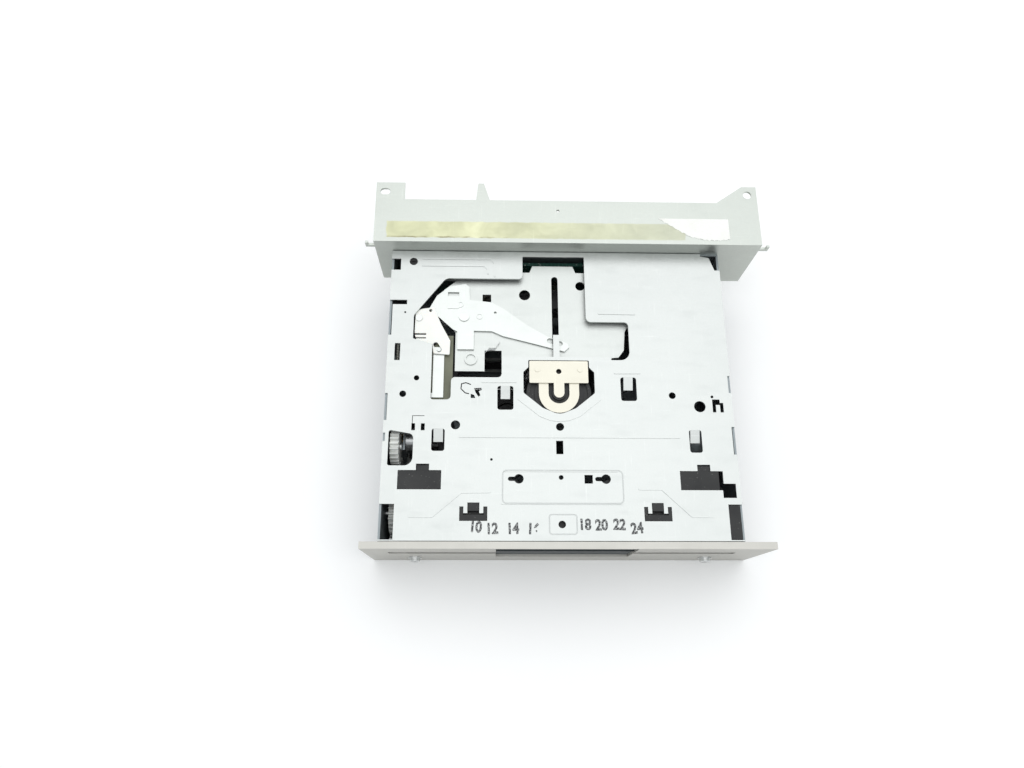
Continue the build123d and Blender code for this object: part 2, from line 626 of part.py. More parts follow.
def make_studs():
    """Steel pins pressed in the left wall, one for each gear that turns on a pin, with a head."""
    studs = []
    for y, z in train_centres:
        pin = bar_x(-half_width, gear_right + 0.4, y, z, stud_radius)
        studs.append(pin + bar_x(gear_right + 0.2, gear_right + 0.8, y, z, stud_radius + 0.9))
    return studs


# ---- loading roller ----
bracket_left_x = gear_right + 1.0
bracket_right_x = half_width - 6.3


def make_roller_sleeves():
    sleeves = []
    for side in (-1, 1):
        length = roller_outer_x - roller_inner_x
        sleeve = Pos(side * (roller_inner_x + roller_outer_x) / 2, roller_y, roller_z) * Rot(0, 90, 0) * (
            Cone(roller_waist_radius if side > 0 else roller_radius,
                 roller_radius if side > 0 else roller_waist_radius, length)
            - Cylinder(roller_shaft_radius, 2 * length))
        sleeves.append(sleeve)
    return sleeves


def make_roller_shaft():
    return bar_x(gear_left - 0.4, bracket_right_x + 2.2, roller_y, roller_z, roller_shaft_radius)


def make_roller_brackets():
    """The steel upright beside the gears and the black plastic upright at the right."""
    top = lid_under
    rear = min(roller_y + 13.0, -lift_screw_y - screw_gear_tip - 0.6)
    left = box(bracket_left_x, bracket_left_x + 1.0, bracket_front, rear, chassis_gauge, top)
    left += box(bracket_left_x, bracket_left_x + 5.0, bracket_front, rear, chassis_gauge, chassis_gauge + 1.0)
    left -= bar_x(bracket_left_x - 1, bracket_left_x + 2, roller_y, roller_z, roller_shaft_radius + running_gap)
    right = box(bracket_right_x, wall_in, bracket_front, rear, chassis_gauge, top + 0.6)
    right -= bar_x(bracket_right_x - 1, bracket_right_x + 2.5, roller_y, roller_z,
                   roller_shaft_radius + running_gap)
    return left, right


def make_upper_guide():
    """The black moulding over the disc's way in, latched into the lid's windows."""
    web_z = lid_under - 3.6
    web_top = web_z + 2.0
    half = -bracket_left_x - 1.3
    tray_room = tray_radius + 1.0
    web = box(-half, half, front_in + 0.4, guide_window_rear + 1.6, web_z, web_top)
    web -= post(0, 0, web_z - 1, web_top + 1, tray_room - 16.0)
    web += box(-half, half, front_in + 2.5, front_in + 4.5, slot_centre_z + 4.2, web_z)
    for x0, x1 in guide_windows:
        middle = (x0 + x1) / 2
        front = guide_window_front + 0.2
        rear = guide_window_rear - 0.2
        web += box(x0 + 0.2, min(x1 - 0.2, half), front, rear, web_top, lid_top - 0.4)
        web += box(middle - 1.5, middle + 4.1, rear, rear + 2.6, web_top, lid_top - 0.6)
    for x in latch_centres:
        front = latch_front + 0.2
        web += box(x - latch_half + 0.2, x + latch_half - 0.2, front, front + 2.6, web_top, lid_top - 0.2)
        web += box(x - latch_half + 0.2, x - latch_half + 1.6, front, latch_rear - 0.2, web_top, lid_top - 0.2)
        web += box(x + latch_half - 1.6, x + latch_half - 0.2, front, latch_rear - 0.2, web_top, lid_top - 0.2)
        web += box(x - 2.4, x + 2.4, latch_rear - 2.0, latch_rear + 1.6, web_top, lid_top + 0.3)
    for side in (-1, 1):
        web -= post(side * lift_screw_x, -lift_screw_y, web_z - 1, web_z + screw_pin_length + 0.2,
                    screw_pin_radius + running_gap)
    return web


# ---- motors ----
def make_loading_motor():
    y, z = loading_motor_centre
    can = bar_x(bracket_left_x + 1.0, bracket_left_x + 1.0 + loading_motor_length, y, z, motor_radius)
    return can - bar_x(bracket_left_x, bracket_left_x + 6.5, y, z, 0.85)


def make_motor_bracket():
    y, z = loading_motor_centre
    foot_y = y + 11.5
    plate = box(bracket_left_x, bracket_left_x + 1.0, y - motor_radius, foot_y, z - 7.0, z + 7.0)
    plate += box(-wall_in, bracket_left_x + 1.0, foot_y - 1.0, foot_y, z - 7.0, z + 7.0)
    return plate - bar_x(bracket_left_x - 1, bracket_left_x + 2, y, z, 2.4)


elevator_radius = ring_radius + pinion_teeth * ring_module / 2
elevator_x = elevator_radius * cos(radians(elevator_motor_angle))
elevator_y = elevator_radius * sin(radians(elevator_motor_angle))
elevator_plate_z = ring_z + ring_thickness + 0.4
elevator_plate_gauge = 0.9


def make_elevator_motor():
    z0 = elevator_plate_z + elevator_plate_gauge
    can = post(elevator_x, elevator_y, z0, z0 + elevator_motor_length, motor_radius)
    return can - post(elevator_x, elevator_y, z0 - 1, z0 + 5.5, 0.85)


def make_elevator_bracket():
    z0 = elevator_plate_z
    z1 = z0 + elevator_plate_gauge
    plate = box(elevator_x - 8, elevator_x + 8, elevator_y - 7, rear_in, z0, z1)
    plate += box(elevator_x - 8, elevator_x + 8, rear_in - 1.0, rear_in, z0, z0 + 12.0)
    return plate - post(elevator_x, elevator_y, z0 - 1, z1 + 1, 2.4)


def make_elevator_pinion(phase):
    pinion = gear(pinion_teeth, ring_module, ring_thickness, 0.4)
    pinion = Pos(elevator_x, elevator_y, ring_z) * (Rot(0, 0, degrees(phase)) * pinion)
    shaft_top = elevator_plate_z + elevator_plate_gauge + 5.0
    return pinion + post(elevator_x, elevator_y, ring_z, shaft_top, 0.8)


# ---- tray lift ----
def make_ring():
    bore = ring_radius - 1.05 * ring_module - ring_rim
    return Pos(0, 0, ring_z) * gear(ring_teeth, ring_module, ring_thickness, bore)


def make_ring_posts():
    """Small plastic posts on the floor that keep the ring centred."""
    bore = ring_radius - 1.05 * ring_module - ring_rim
    radius = 2.0
    posts = []
    for angle in (0.0, 90.0, 180.0, 270.0):
        reach = bore - radius - slide_gap
        x = reach * cos(radians(angle))
        y = reach * sin(radians(angle))
        posts.append(post(x, y, chassis_gauge, frame_z - 0.3, radius))
    return posts


def make_lift_screw(x, y):
    """A moulded screw with its gear at the foot and a pin at each end."""
    phase = mesh_phase(ring_teeth, 0.0, screw_gear_teeth, atan2(y, x))
    body = Pos(0, 0, ring_z) * (Rot(0, 0, degrees(phase)) * gear(screw_gear_teeth, ring_module, ring_thickness, 1.0))
    body += post(0, 0, ring_z, screw_top, screw_core_radius)
    body += post(0, 0, 0.1, ring_z, screw_pin_radius)
    body += post(0, 0, screw_top, screw_top + screw_pin_length, screw_pin_radius)
    thread_foot = ring_z + ring_thickness + 3.0
    thread_run = screw_top - 3.0 - thread_foot
    middle_radius = screw_core_radius + thread_height / 2 - 0.2
    line = Helix(pitch=thread_lead, height=thread_run, radius=middle_radius)
    section = Plane(origin=line @ 0, x_dir=(1, 0, 0), z_dir=line % 0) * Rectangle(thread_height + 0.4, thread_width)
    body += Pos(0, 0, thread_foot) * sweep(section, path=line, is_frenet=True)
    return Pos(x, y, 0) * body


def make_tray(number):
    """A thin ring with a seat for the disc and four ears that the screws pass through."""
    z0 = first_tray_z + tray_pitch * number
    z1 = z0 + tray_gauge
    tray = post(0, 0, z0, z1, tray_radius)
    ear_radius = thread_radius + 2.1
    arm_half = 3.0
    for x in (-lift_screw_x, lift_screw_x):
        for y in (-lift_screw_y, lift_screw_y):
            tray += post(x, y, z0, z1, ear_radius)
            tray += stadium(0.72 * x, 0.72 * y, x, y, 2 * arm_half, z0, z1)
    tray -= post(0, 0, z0 - 1, z1 + 1, disc_radius - tray_ledge)
    tray -= post(0, 0, z1 - tray_seat_depth, z1 + 1, disc_radius + 0.4)
    for x in (-lift_screw_x, lift_screw_x):
        for y in (-lift_screw_y, lift_screw_y):
            tray -= post(x, y, z0 - 1, z1 + 1, thread_radius + 0.4)
    return tray


# ---- playing unit ----
window_left_x = -unit_left + 5.5
window_right_x = -14.5


def make_lift_frame():
    flange_front = -unit_front - 1.4
    flange_rear = unit_rear + 1.4
    top = frame_z + frame_gauge
    frame_left = -unit_left - frame_overhang
    frame = box(frame_left, unit_right, flange_front - 1, flange_rear + 1, frame_z, top)
    for y0 in (flange_front - 1, flange_rear):
        frame += box(frame_pin_places[0] - 6.0, frame_pin_places[1] + 4.0, y0, y0 + 1, frame_z, base_top)
    window_front = -unit_front + 3.6
    window_rear = unit_rear - 3.4
    frame -= box(-unit_left + 5.0, unit_right - 5.0, window_front, window_rear, frame_z - 1, top + 1)
    for y in (-rod_offset, rod_offset, feed_screw_y):
        frame -= box(-unit_left + 0.1, -unit_left + 6, y - 2.6, y + 2.6, frame_z - 1, top + 1)
    for x in frame_pin_places:
        frame += bar_y(x, flange_front - 3.4, flange_front - 0.9, frame_z + 3.0, 1.2)
        frame += bar_y(x, flange_rear + 0.9, flange_rear + 3.4, frame_z + 3.0, 1.2)
    return frame


def make_frame_guides():
    """Four slotted uprights on the floor that the frame's pins rise and fall in."""
    guides = []
    for y0 in (-unit_front - 4.9, unit_rear + 2.9):
        for x in frame_pin_places:
            guide = box(x - 4, x + 4, y0, y0 + 2.0, chassis_gauge, frame_z + play_lift + 7.0)
            pin_z = frame_z + 3.0
            guide -= box(x - 1.3, x + 1.3, y0 - 1, y0 + 3, pin_z - 1.3, pin_z + play_lift + 1.4)
            guides.append(guide)
    return guides


def make_dampers():
    inset = damper_radius + 0.2
    places = [(x, y) for x in (-unit_left + inset, unit_right - inset) for y in (-unit_front + inset, unit_rear - inset)]
    z0 = frame_z + frame_gauge
    dampers = []
    for x, y in places:
        ring = post(x, y, z0, base_z, damper_radius) - Pos(x, y, (z0 + base_z) / 2) * Torus(damper_radius, 0.6)
        dampers.append(ring)
    return dampers


def make_traverse_base():
    base = box(-unit_left, unit_right, -unit_front, unit_rear, base_z, base_top)
    window_front = -rod_offset - 3.3
    window_rear = feed_screw_y + feed_motor_radius + 0.7
    cuts = [box(window_left_x, window_right_x, window_front, window_rear, base_z - 1, base_top + 1)]
    cuts.append(box(window_right_x - 1, window_right_x + feed_motor_length + 1.0, feed_screw_y - feed_motor_radius - 0.4,
                    window_rear, base_z - 1, base_top + 1))
    cuts.append(post(0, 0, base_z - 1, base_top + 1, 3.5))
    base -= cuts
    for y in (-rod_offset, rod_offset):
        for x0 in (-unit_left + 0.6, -12.6):
            base += box(x0, x0 + 3.2, y - 2.2, y + 2.2, rod_z - 2.2, base_z + 0.5)
        base -= bar_x(-unit_left, -9.0, y, rod_z, rod_radius)
    foot = box(-unit_left + 0.6, -unit_left + 3.8, feed_screw_y - 2.2, feed_screw_y + 2.2, rod_z - 2.2, base_z + 0.5)
    base += foot - bar_x(-unit_left, -unit_left + 5, feed_screw_y, rod_z, 0.8 + running_gap)
    return base


def make_rods():
    return [bar_x(-unit_left + 0.6, -9.4, y, rod_z, rod_radius) for y in (-rod_offset, rod_offset)]


def make_spindle_motor():
    z0 = base_z - spindle_motor_height
    motor = post(0, 0, z0, base_z, spindle_motor_radius)
    motor = chamfer(motor.edges().group_by(Axis.Z)[0], 0.6)
    return motor - post(0, 0, z0 + 0.6, base_z + 1, spindle_radius + running_gap)


def make_turntable():
    platter = post(0, 0, platter_z, platter_top, turntable_radius)
    hub = post(0, 0, platter_top, platter_top + hub_height, hub_radius)
    hub = chamfer(hub.edges().group_by(Axis.Z)[-1], 1.1)
    body = platter + hub + post(0, 0, base_z - spindle_motor_height + 1.0, platter_z, spindle_radius)
    for angle in (0, 120, 240):
        body -= Rot(0, 0, angle) * box(hub_radius - 2.6, hub_radius + 1, -1.6, 1.6, platter_top + 0.6, platter_top + 4)
    return body


def make_chuck_jaws():
    jaws = []
    for angle in (0, 120, 240):
        jaw = box(hub_radius - 2.6, hub_radius - 0.2, -1.5, 1.5, platter_top + 0.6, platter_top + 2.2)
        jaw += Pos(hub_radius - 0.2, 0, platter_top + 1.4) * Rot(90, 0, 0) * Cylinder(0.5, 3.0)
        jaws.append(Rot(0, 0, angle) * jaw)
    return jaws


def make_pickup():
    x0 = -lens_start - sled_half
    x1 = -lens_start + sled_half
    foot = rod_z - 2.1
    top = base_top + 1.2
    body = box(x0, x1, -rod_offset + 3.4, rod_offset - 3.4, foot, top)
    body += box(x0, x1, -rod_offset - 2.8, rod_offset + 2.6, foot, base_z - 0.2)
    body -= bar_x(x0 - 1, x1 + 1, -rod_offset, rod_z, rod_radius + running_gap)
    body -= box(x0 - 1, x1 + 1, rod_offset - rod_radius - running_gap, rod_offset + 3, rod_z - rod_radius - running_gap,
                rod_z + rod_radius + running_gap)
    # The follower that rides in the feed screw's groove.
    body += box(-lens_start - 2, -lens_start + 2, rod_offset - 4, feed_screw_y - 1.9, rod_z + rod_radius + 0.3,
                rod_z + rod_radius + 1.5)
    body += box(-lens_start - 2, -lens_start + 2, feed_screw_y - 2.9, feed_screw_y - feed_screw_radius - 0.45,
                rod_z - 0.6, rod_z + rod_radius + 1.5)
    body -= post(-lens_start, 0, top - 1.5, top + 1, 6.4)
    body += post(-lens_start, 0, top - 2.0, top + 0.4, 5.2)
    return body - post(-lens_start, 0, top - 0.6, top + 1, lens_radius)


def make_lens():
    top = base_top + 1.2
    dome = Pos(-lens_start, 0, top - 2.6) * Sphere(3.2)
    return dome & post(-lens_start, 0, top - 0.6, top + 1, lens_radius)


def make_feed_screw():
    left = -unit_left + 1.0
    right = window_right_x + 5.0
    shaft = bar_x(left, right, feed_screw_y, rod_z, 0.8)
    start = -unit_left + 6.0
    run = window_right_x - 2.0 - start
    shaft += bar_x(start, start + run, feed_screw_y, rod_z, feed_screw_radius)
    return shaft


def make_feed_motor():
    x0 = window_right_x + 0.4
    motor = bar_x(x0, x0 + feed_motor_length, feed_screw_y, rod_z, feed_motor_radius)
    motor += box(x0 + 1.0, x0 + feed_motor_length, feed_screw_y - 2.0, feed_screw_y + 2.0, rod_z, base_top + 0.8)
    return motor - bar_x(x0 - 1, x0 + 5.2, feed_screw_y, rod_z, 0.85)


# ---- board and connectors ----
board_left = -62.0
board_right = 18.0
board_front = rear_in - 3.3
board_gauge = 1.6
board_z = (5.0, 43.0)


def make_board():
    board = box(board_left, board_right, board_front, board_front + board_gauge, *board_z)
    for x0, x1 in connector_spans:
        board -= box(x0 - 0.1, x1 + 0.1, board_front - 1, board_front + 3, connector_z[0] - 0.1, connector_z[1] + 0.1)
    for x in (board_left + 4, board_right - 4):
        for z in (board_z[0] + 14, board_z[1] - 4):
            board += bar_y(x, board_front + board_gauge, rear_in, z, 2.0)
    return board


def make_chips():
    chips = []
    for x, z, wide, tall in ((-40.0, 30.0, 12.0, 12.0), (-14.0, 32.0, 9.0, 6.0), (6.0, 28.0, 6.0, 8.0)):
        chips.append(box(x - wide / 2, x + wide / 2, board_front - 1.6, board_front, z - tall / 2, z + tall / 2))
    return chips


def make_connectors():
    sockets = []
    for x0, x1 in connector_spans:
        shell = box(x0, x1, board_front - 3.0, rear_out + 2.5, *connector_z)
        shell -= box(x0 + 1.2, x1 - 1.2, rear_out - 4.5, rear_out + 3, connector_z[0] + 1.2, connector_z[1] - 1.2)
        sockets.append(shell)
    return sockets


# ---- mechanism under the lid ----
plate_screw_head = 2.0
plate_rear = rear_depth - 4.1
tongue_side = rear_depth - 9.7
# The gap at the plate's right end, inside the lid's cut-out.
plate_recess = [(34.5, 35.1), (33.3, 32.7), (32.5, 23.2), (29.7, 19.4), (26.3, 19.1), (26.2, 16.9), (33.8, 16.6), (36.7, 22.4), (37.4, 35.1)]
mech_outline = [
    (-half_width + 4.5, rear_depth - 12.6), (-half_width + 4.5, plate_rear), (-18.0, plate_rear),
    (-18.0, tongue_side), (-13.4, tongue_side), (-12.0, plate_rear - 2.0), (8.4, plate_rear - 2.0),
    (9.8, tongue_side), (15.0, tongue_side), (15.0, plate_rear), (half_width - 6.5, plate_rear),
    (half_width - 6.5, plate_rear - 10.5), (screw_limit - 7.9, 50.0), (screw_limit - 7.9, 18.5),
    (-27.4, 18.5), (-27.4, 22.5), (-35.7, 22.5), (-35.7, 11.8), (-50.0, 11.8), (-50.0, 32.0),
    (-screw_limit + 10.9, 39.0), (-screw_limit + 5.4, 46.0), (-56.0, 55.0), (-50.0, 60.0),
]
stop_end_clearance = 1.6


def make_mech_plate():
    plate = slab(mech_outline, mech_under, mech_top)
    cuts = [stadium(stop_pin_x, stop_pin_y - stop_end_clearance + 1.0, stop_pin_x, 61.0, guide_slot_width,
                    mech_under - 1, mech_top + 1)]
    cuts.append(post(-16.0, 52.4, mech_under - 1, mech_top + 1, 2.8))
    cuts.append(post(12.0, 57.6, mech_under - 1, mech_top + 1, 2.4))
    cuts.append(box(-37.0, -32.7, 48.2, 52.5, mech_under - 1, mech_top + 1))
    cuts.append(post(arm_pivot_x, arm_pivot_y, mech_under - 1, mech_top + 1, 1.2))
    cuts.append(slab(plate_recess, mech_under - 1, mech_top + 1))
    plate -= cuts
    # The raised ring on the tongue in front of the lever.
    plate += post(-42.4, 18.0, mech_top - 0.2, mech_top + 0.7, 3.1) - post(-42.4, 18.0, mech_top, mech_top + 1, 2.3)
    # Spacers that hold the plate below the lid: two riveted ones and one that a screw goes through.
    for x, y in [plate_screw_place] + plate_rivet_places:
        plate += post(x, y, mech_top, lid_under, plate_spacer_radius)
    return plate - post(*plate_screw_place, mech_under - 1, lid_under + 1, screw_shank_radius)


def make_plate_screw():
    """The screw through the lid and its spacer into the mechanism plate."""
    x, y = plate_screw_place
    screw = post(x, y, mech_under - 0.6, lid_top - 0.6, screw_shank_radius)
    screw += post(x, y, lid_under, lid_top - 0.3, plate_screw_head)
    return screw - box(x - 1.2, x + 1.2, y - 0.25, y + 0.25, lid_top - 0.8, lid_top)


def make_rear_bearings():
    """Black plastic caps that carry the rear screws' tops; the left one carries the selector's pivot."""
    z0 = screw_top + 0.1
    z1 = z0 + 1.6
    inner = screw_limit - 3.3
    outer = wall_in - 1.0
    post_radius = 2.0
    caps = []
    for side in (-1, 1):
        cap = box(min(side * inner, side * outer), max(side * inner, side * outer), lift_screw_y - 6.2,
                  lift_screw_y + 6.3, z0, z1)
        cap += post(side * (outer - post_radius), lift_screw_y + 3.4, z1, lid_under, post_radius)
        cap -= post(side * lift_screw_x, lift_screw_y, z0 - 1, z0 + screw_pin_length, screw_pin_radius + running_gap)
        caps.append(cap)
    return caps


arm_z0 = mech_top + arm_gap
arm_z1 = arm_z0 + arm_gauge
stop_angle = atan2(stop_pin_y - arm_pivot_y, stop_pin_x - arm_pivot_x)


def make_lever_arm():
    """The long pressed lever: a broad heel around the pivot, a tab and a slender arm to the stop pin."""
    heel_radius = 18.0
    heel = slab([
        (-63.4, 43.8), (-59.6, 51.2), (-53.4, 56.2), (-45.4, 57.8), (-43.6, 56.0), (-43.2, 49.0), (-32.4, 47.8),
        (-26.8, 44.6), (-14.8, 35.6), (-5.2, 29.8), (4.4, 26.4), (5.6, 24.2), (3.2, 21.9), (-12.0, 26.0),
        (-26.8, 29.8), (-32.2, 32.3), (-41.0, 32.5), (-41.0, 22.7), (-49.0, 22.7), (-49.2, 32.1), (-51.2, 33.0),
        (-61.0, 42.0),
    ], arm_z0, arm_z1)
    heel &= post(arm_pivot_x, arm_pivot_y, arm_z0 - 1, arm_z1 + 1, heel_radius + 0.3) + box(
        arm_pivot_x, 20, 0, 80, arm_z0 - 1, arm_z1 + 1)
    cuts = [post(arm_pivot_x, arm_pivot_y, arm_z0 - 1, arm_z1 + 1, 1.5 + running_gap)]
    near = 43.9
    far = 49.2
    cuts.append(stadium(arm_pivot_x + near * cos(stop_angle), arm_pivot_y + near * sin(stop_angle),
                        arm_pivot_x + far * cos(stop_angle), arm_pivot_y + far * sin(stop_angle),
                        2 * (stop_pin_radius + 0.4), arm_z0 - 1, arm_z1 + 1))
    cuts.append(box(-54.2, -48.6, 51.0, 53.2, arm_z0 - 1, arm_z1 + 1))
    cuts.append(post(-30.6, 42.2, arm_z0 - 1, arm_z1 + 1, 0.7))
    arm = heel - cuts
    arm += box(-54.2, -48.6, 44.2, 50.0, arm_z1 - 0.1, arm_z1 + 0.25)
    for x, y in ((-47.9, 46.5), (-38.3, 40.2)):
        arm += post(x, y, arm_z1 - 0.1, arm_z1 + 0.25, 1.6) - post(x, y, arm_z1, arm_z1 + 1, 1.1)
    return arm


def make_arm_pivot():
    pin = post(arm_pivot_x, arm_pivot_y, mech_under, arm_z1 + 0.1, 1.2)
    pin += post(arm_pivot_x, arm_pivot_y, mech_top, arm_z1 + 0.1, 1.5)
    return pin + post(arm_pivot_x, arm_pivot_y, arm_z1 + 0.1, arm_z1 + 0.6, 2.6)


def make_stop_pin():
    z_foot = mech_under - 0.9
    pin = post(stop_pin_x, stop_pin_y, z_foot, mech_under - 0.2, 2.6)
    pin += post(stop_pin_x, stop_pin_y, mech_under - 0.2, mech_top + 0.1, guide_slot_width / 2 - 0.1)
    return pin + post(stop_pin_x, stop_pin_y, mech_top + 0.1, arm_z1 + 0.3, stop_pin_radius)


bar_z0 = mech_top + 0.5
bar_z1 = bar_z0 + 0.8
bar_pin_x = -57.8
bar_pin_y = 22.0
rail_top = bar_z0 - 0.2


def make_slide_bar():
    bar = box(-60.4, -55.2, -2.0, 23.6, bar_z0, bar_z1)
    bar += box(-62.6, -60.4, -2.0, 0.2, bar_z0, bar_z1)
    return bar + post(bar_pin_x, bar_pin_y, bar_z1, bar_z1 + 1.1, 0.9)


def make_slide_rail():
    """The olive moulding that the slide bar runs on, hung from the lid by three posts."""
    rail_z = mech_under - 0.3
    rail = slab([(-66.5, -9.0), (-51.0, -9.0), (-51.0, 30.0), (-54.5, 30.0), (-62.0, 23.0), (-66.5, 23.0)],
                rail_z, rail_top)
    for x, y in ((-64.0, -7.0), (-54.0, -7.0), (-64.6, 20.6)):
        rail += post(x, y, rail_top, lid_under, 1.5)
    return rail


def make_ground_spring():
    """A small coil spring, seen through the left slot, held between two tabs of the lid."""
    half_turns = 2 * spring_turns

    def place(t):
        angle = pi * t
        return Vector(spring_x + spring_coil * sin(angle), spring_front + spring_pitch * t / 2,
                      spring_z + spring_coil * cos(angle))

    def heading(t):
        angle = pi * t
        return Vector(spring_coil * pi * cos(angle), spring_pitch / 2, -spring_coil * pi * sin(angle)).normalized()

    edges = []
    for step in range(half_turns):
        start, end = place(step), place(step + 1)
        leave, arrive = heading(step), heading(step + 1)
        chord = end - start
        both = leave + arrive
        spread = 2 * (1 - leave.dot(arrive))
        reach = (-chord.dot(both) + sqrt(chord.dot(both) ** 2 + spread * chord.dot(chord))) / spread
        near = start + leave * reach
        far = end - arrive * reach
        middle = (near + far) * 0.5
        edges.append(TangentArc(start, middle, tangent=leave))
        edges.append(TangentArc(middle, end, tangent=(middle - near).normalized()))
    lead_in = place(0) - heading(0) * (4 * spring_wire)
    lead_out = place(half_turns) + heading(half_turns) * (4 * spring_wire)
    path = Wire([Line(lead_in, place(0))] + edges + [Line(place(half_turns), lead_out)])
    coil_body = sweep(Plane(origin=lead_in, z_dir=heading(0)) * Circle(spring_wire), path=path)
    samples = [place(n / 12) for n in range(12 * half_turns + 1)]
    gaps = [(a - b).length for i, a in enumerate(samples) for b in samples[i + 14:]]
    print(f"ground spring least gap to itself {min(gaps) - 2 * spring_wire:.2f} mm")
    return coil_body


selector_z0 = bar_z1 + 0.25
selector_z1 = selector_z0 + 0.8


def make_selector():
    """The white lever that the slide bar turns."""
    plate = slab([
        (-69.6, 42.0), (-66.5, 43.4), (-60.8, 44.3), (-57.2, 35.6), (-52.4, 26.6), (-52.6, 19.4), (-60.4, 20.0),
        (-61.0, 24.8), (-68.8, 27.0), (-69.8, 30.0), (-69.8, 35.2),
    ], selector_z0, selector_z1, 0.6)
    cuts = [post(selector_pivot_x, selector_pivot_y, selector_z0 - 1, selector_z1 + 1, 1.0 + running_gap)]
    cuts.append(box(-71.0, -64.2, 29.6, 30.5, selector_z0 - 1, selector_z1 + 1))
    cuts.append(box(-69.4, -64.2, 27.7, 28.4, selector_z0 - 1, selector_z1 + 1))
    to_pin = atan2(bar_pin_y - selector_pivot_y, bar_pin_x - selector_pivot_x)
    reach = hypot(bar_pin_x - selector_pivot_x, bar_pin_y - selector_pivot_y)
    cuts.append(stadium(selector_pivot_x + (reach - 3.0) * cos(to_pin), selector_pivot_y + (reach - 3.0) * sin(to_pin),
                        selector_pivot_x + (reach + 0.2) * cos(to_pin), selector_pivot_y + (reach + 0.2) * sin(to_pin),
                        2.5, selector_z0 - 1, selector_z1 + 1))
    cuts.append(post(-62.4, 42.6, selector_z0 - 1, selector_z1 + 1, 0.8))
    return plate - cuts


def make_selector_pivot():
    """The black headed pin that stands on the left rear bearing cap."""
    foot = screw_top + 1.7
    pin = post(selector_pivot_x, selector_pivot_y, foot, selector_z0 - 0.1, 1.8)
    pin += post(selector_pivot_x, selector_pivot_y, selector_z0 - 0.1, selector_z1 + 0.1, 1.0)
    return pin + post(selector_pivot_x, selector_pivot_y, selector_z1 + 0.1, selector_z1 + 0.5, 1.7)


# ---- disc clamp ----
clamp_rear = 16.1
clamp_front = 5.0
clamp_half = 14.1


def make_clamp_arm():
    """The cream plate over the clamp hole, hooked under the lid's strip behind it, with a centre tongue."""
    z0 = lid_under
    z1 = z0 + clamp_arm_gauge
    arm = slab([(-clamp_half, clamp_front), (-clamp_half, clamp_rear), (clamp_half, clamp_rear),
                (clamp_half, clamp_front)], z0, z1, 0.5)
    arm += stadium(0, clamp_front + 2, 0, 0.2, 5.0, z0, z1)
    for side in (-1, 1):
        inner = side * 5.5
        outer = side * 9.5
        arm += box(min(inner, outer), max(inner, outer), clamp_rear - 2.0, clamp_rear + 2.2, z0 - 0.9, z0 - 0.15)
        arm += box(min(inner, outer), max(inner, outer), clamp_rear - 2.0, clamp_rear, z0 - 0.9, z0 + 0.1)
        arm += post(side * 10.2, 11.8, z1 - 0.1, z1 + 0.3, 1.3)
    return arm - post(0, 10.8, z0 - 1, z1 + 1, 1.3)


def make_clamp_spring():
    """The flat U-shaped spring under the clamp arm."""
    z1 = lid_under
    z0 = z1 - clamp_spring_gauge
    ring = post(0, 0, z0, z1, clamp_spring_radius)
    ring += box(-clamp_spring_radius, clamp_spring_radius, 0, clamp_front + 4.0, z0, z1)
    ring -= post(0, 0, z0 - 1, z1 + 1, clamp_spring_bore)
    return ring - box(-clamp_spring_bore, clamp_spring_bore, 0, clamp_front + 0.4, z0 - 1, z1 + 1)


clamper_top = lid_under - clamp_spring_gauge - 0.9


def make_clamper():
    """The black clamping puck with the hub that enters the discs' centre holes."""
    foot = clamper_top - clamper_flange
    puck = post(0, 0, foot, clamper_top, clamper_radius)
    puck -= post(0, 0, clamper_top - 0.6, clamper_top + 1, clamper_radius - 1.6) - post(
        0, 0, clamper_top - 0.6, clamper_top, 11.6)
    puck += post(0, 0, clamper_top, lid_under - 0.1, 3.2)
    hub = post(0, 0, foot - clamper_hub_height, foot, clamper_hub_radius)
    hub = chamfer(hub.edges().group_by(Axis.Z)[0], 1.0)
    return puck + (hub - post(0, 0, foot - clamper_hub_height - 1, foot - 1.2, clamper_hub_radius - 1.6))


# ---- build ----
os.makedirs("parts", exist_ok=True)
save("lid", make_lid())
save("bottom_chassis", make_chassis())
save("front_plate", make_front_plate())
save("front_screws", *make_front_screws())
save("rear_bracket", make_rear_bracket())
save("bracket_screws", *make_bracket_screws())
save("blank_label", make_label())
upper_gear, rear_idler, front_idler, roller_gear, loading_pinion = make_train()
save("upper_gear", upper_gear)
save("rear_idler_gear", rear_idler)
save("front_idler_gear", front_idler)
save("roller_gear", roller_gear)
save("loading_motor_pinion", loading_pinion)
save("gear_studs", *make_studs())
save("roller_shaft", make_roller_shaft())
save("roller_sleeves", *make_roller_sleeves())
roller_bracket, roller_upright = make_roller_brackets()
save("roller_bracket_left", roller_bracket)
save("roller_bracket_right", roller_upright)
save("upper_disc_guide", make_upper_guide())
save("loading_motor", make_loading_motor())
save("motor_brackets", make_motor_bracket(), make_elevator_bracket())
save("lift_motor", make_elevator_motor())
save("lift_motor_pinion", make_elevator_pinion(mesh_phase(ring_teeth, 0.0, pinion_teeth,
                                                          radians(elevator_motor_angle))))
save("ring_gear", make_ring())
for screw_name, screw_side, screw_end in (("front_left", -1, -1), ("front_right", 1, -1),
                                          ("rear_left", -1, 1), ("rear_right", 1, 1)):
    save(f"lift_screw_{screw_name}", make_lift_screw(screw_side * lift_screw_x, screw_end * lift_screw_y))
for tray_number in range(tray_count):
    save(f"disc_tray_{tray_number + 1}", make_tray(tray_number))
save("play_unit_frame", make_lift_frame())
save("floor_guides", *make_ring_posts(), *make_frame_guides())
save("dampers", *make_dampers())
save("traverse_base", make_traverse_base())
save("guide_rods", *make_rods())
save("spindle_motor", make_spindle_motor())
save("turntable", make_turntable())
save("chuck_jaws", *make_chuck_jaws())
save("pickup_sled", make_pickup())
save("objective_lens", make_lens())
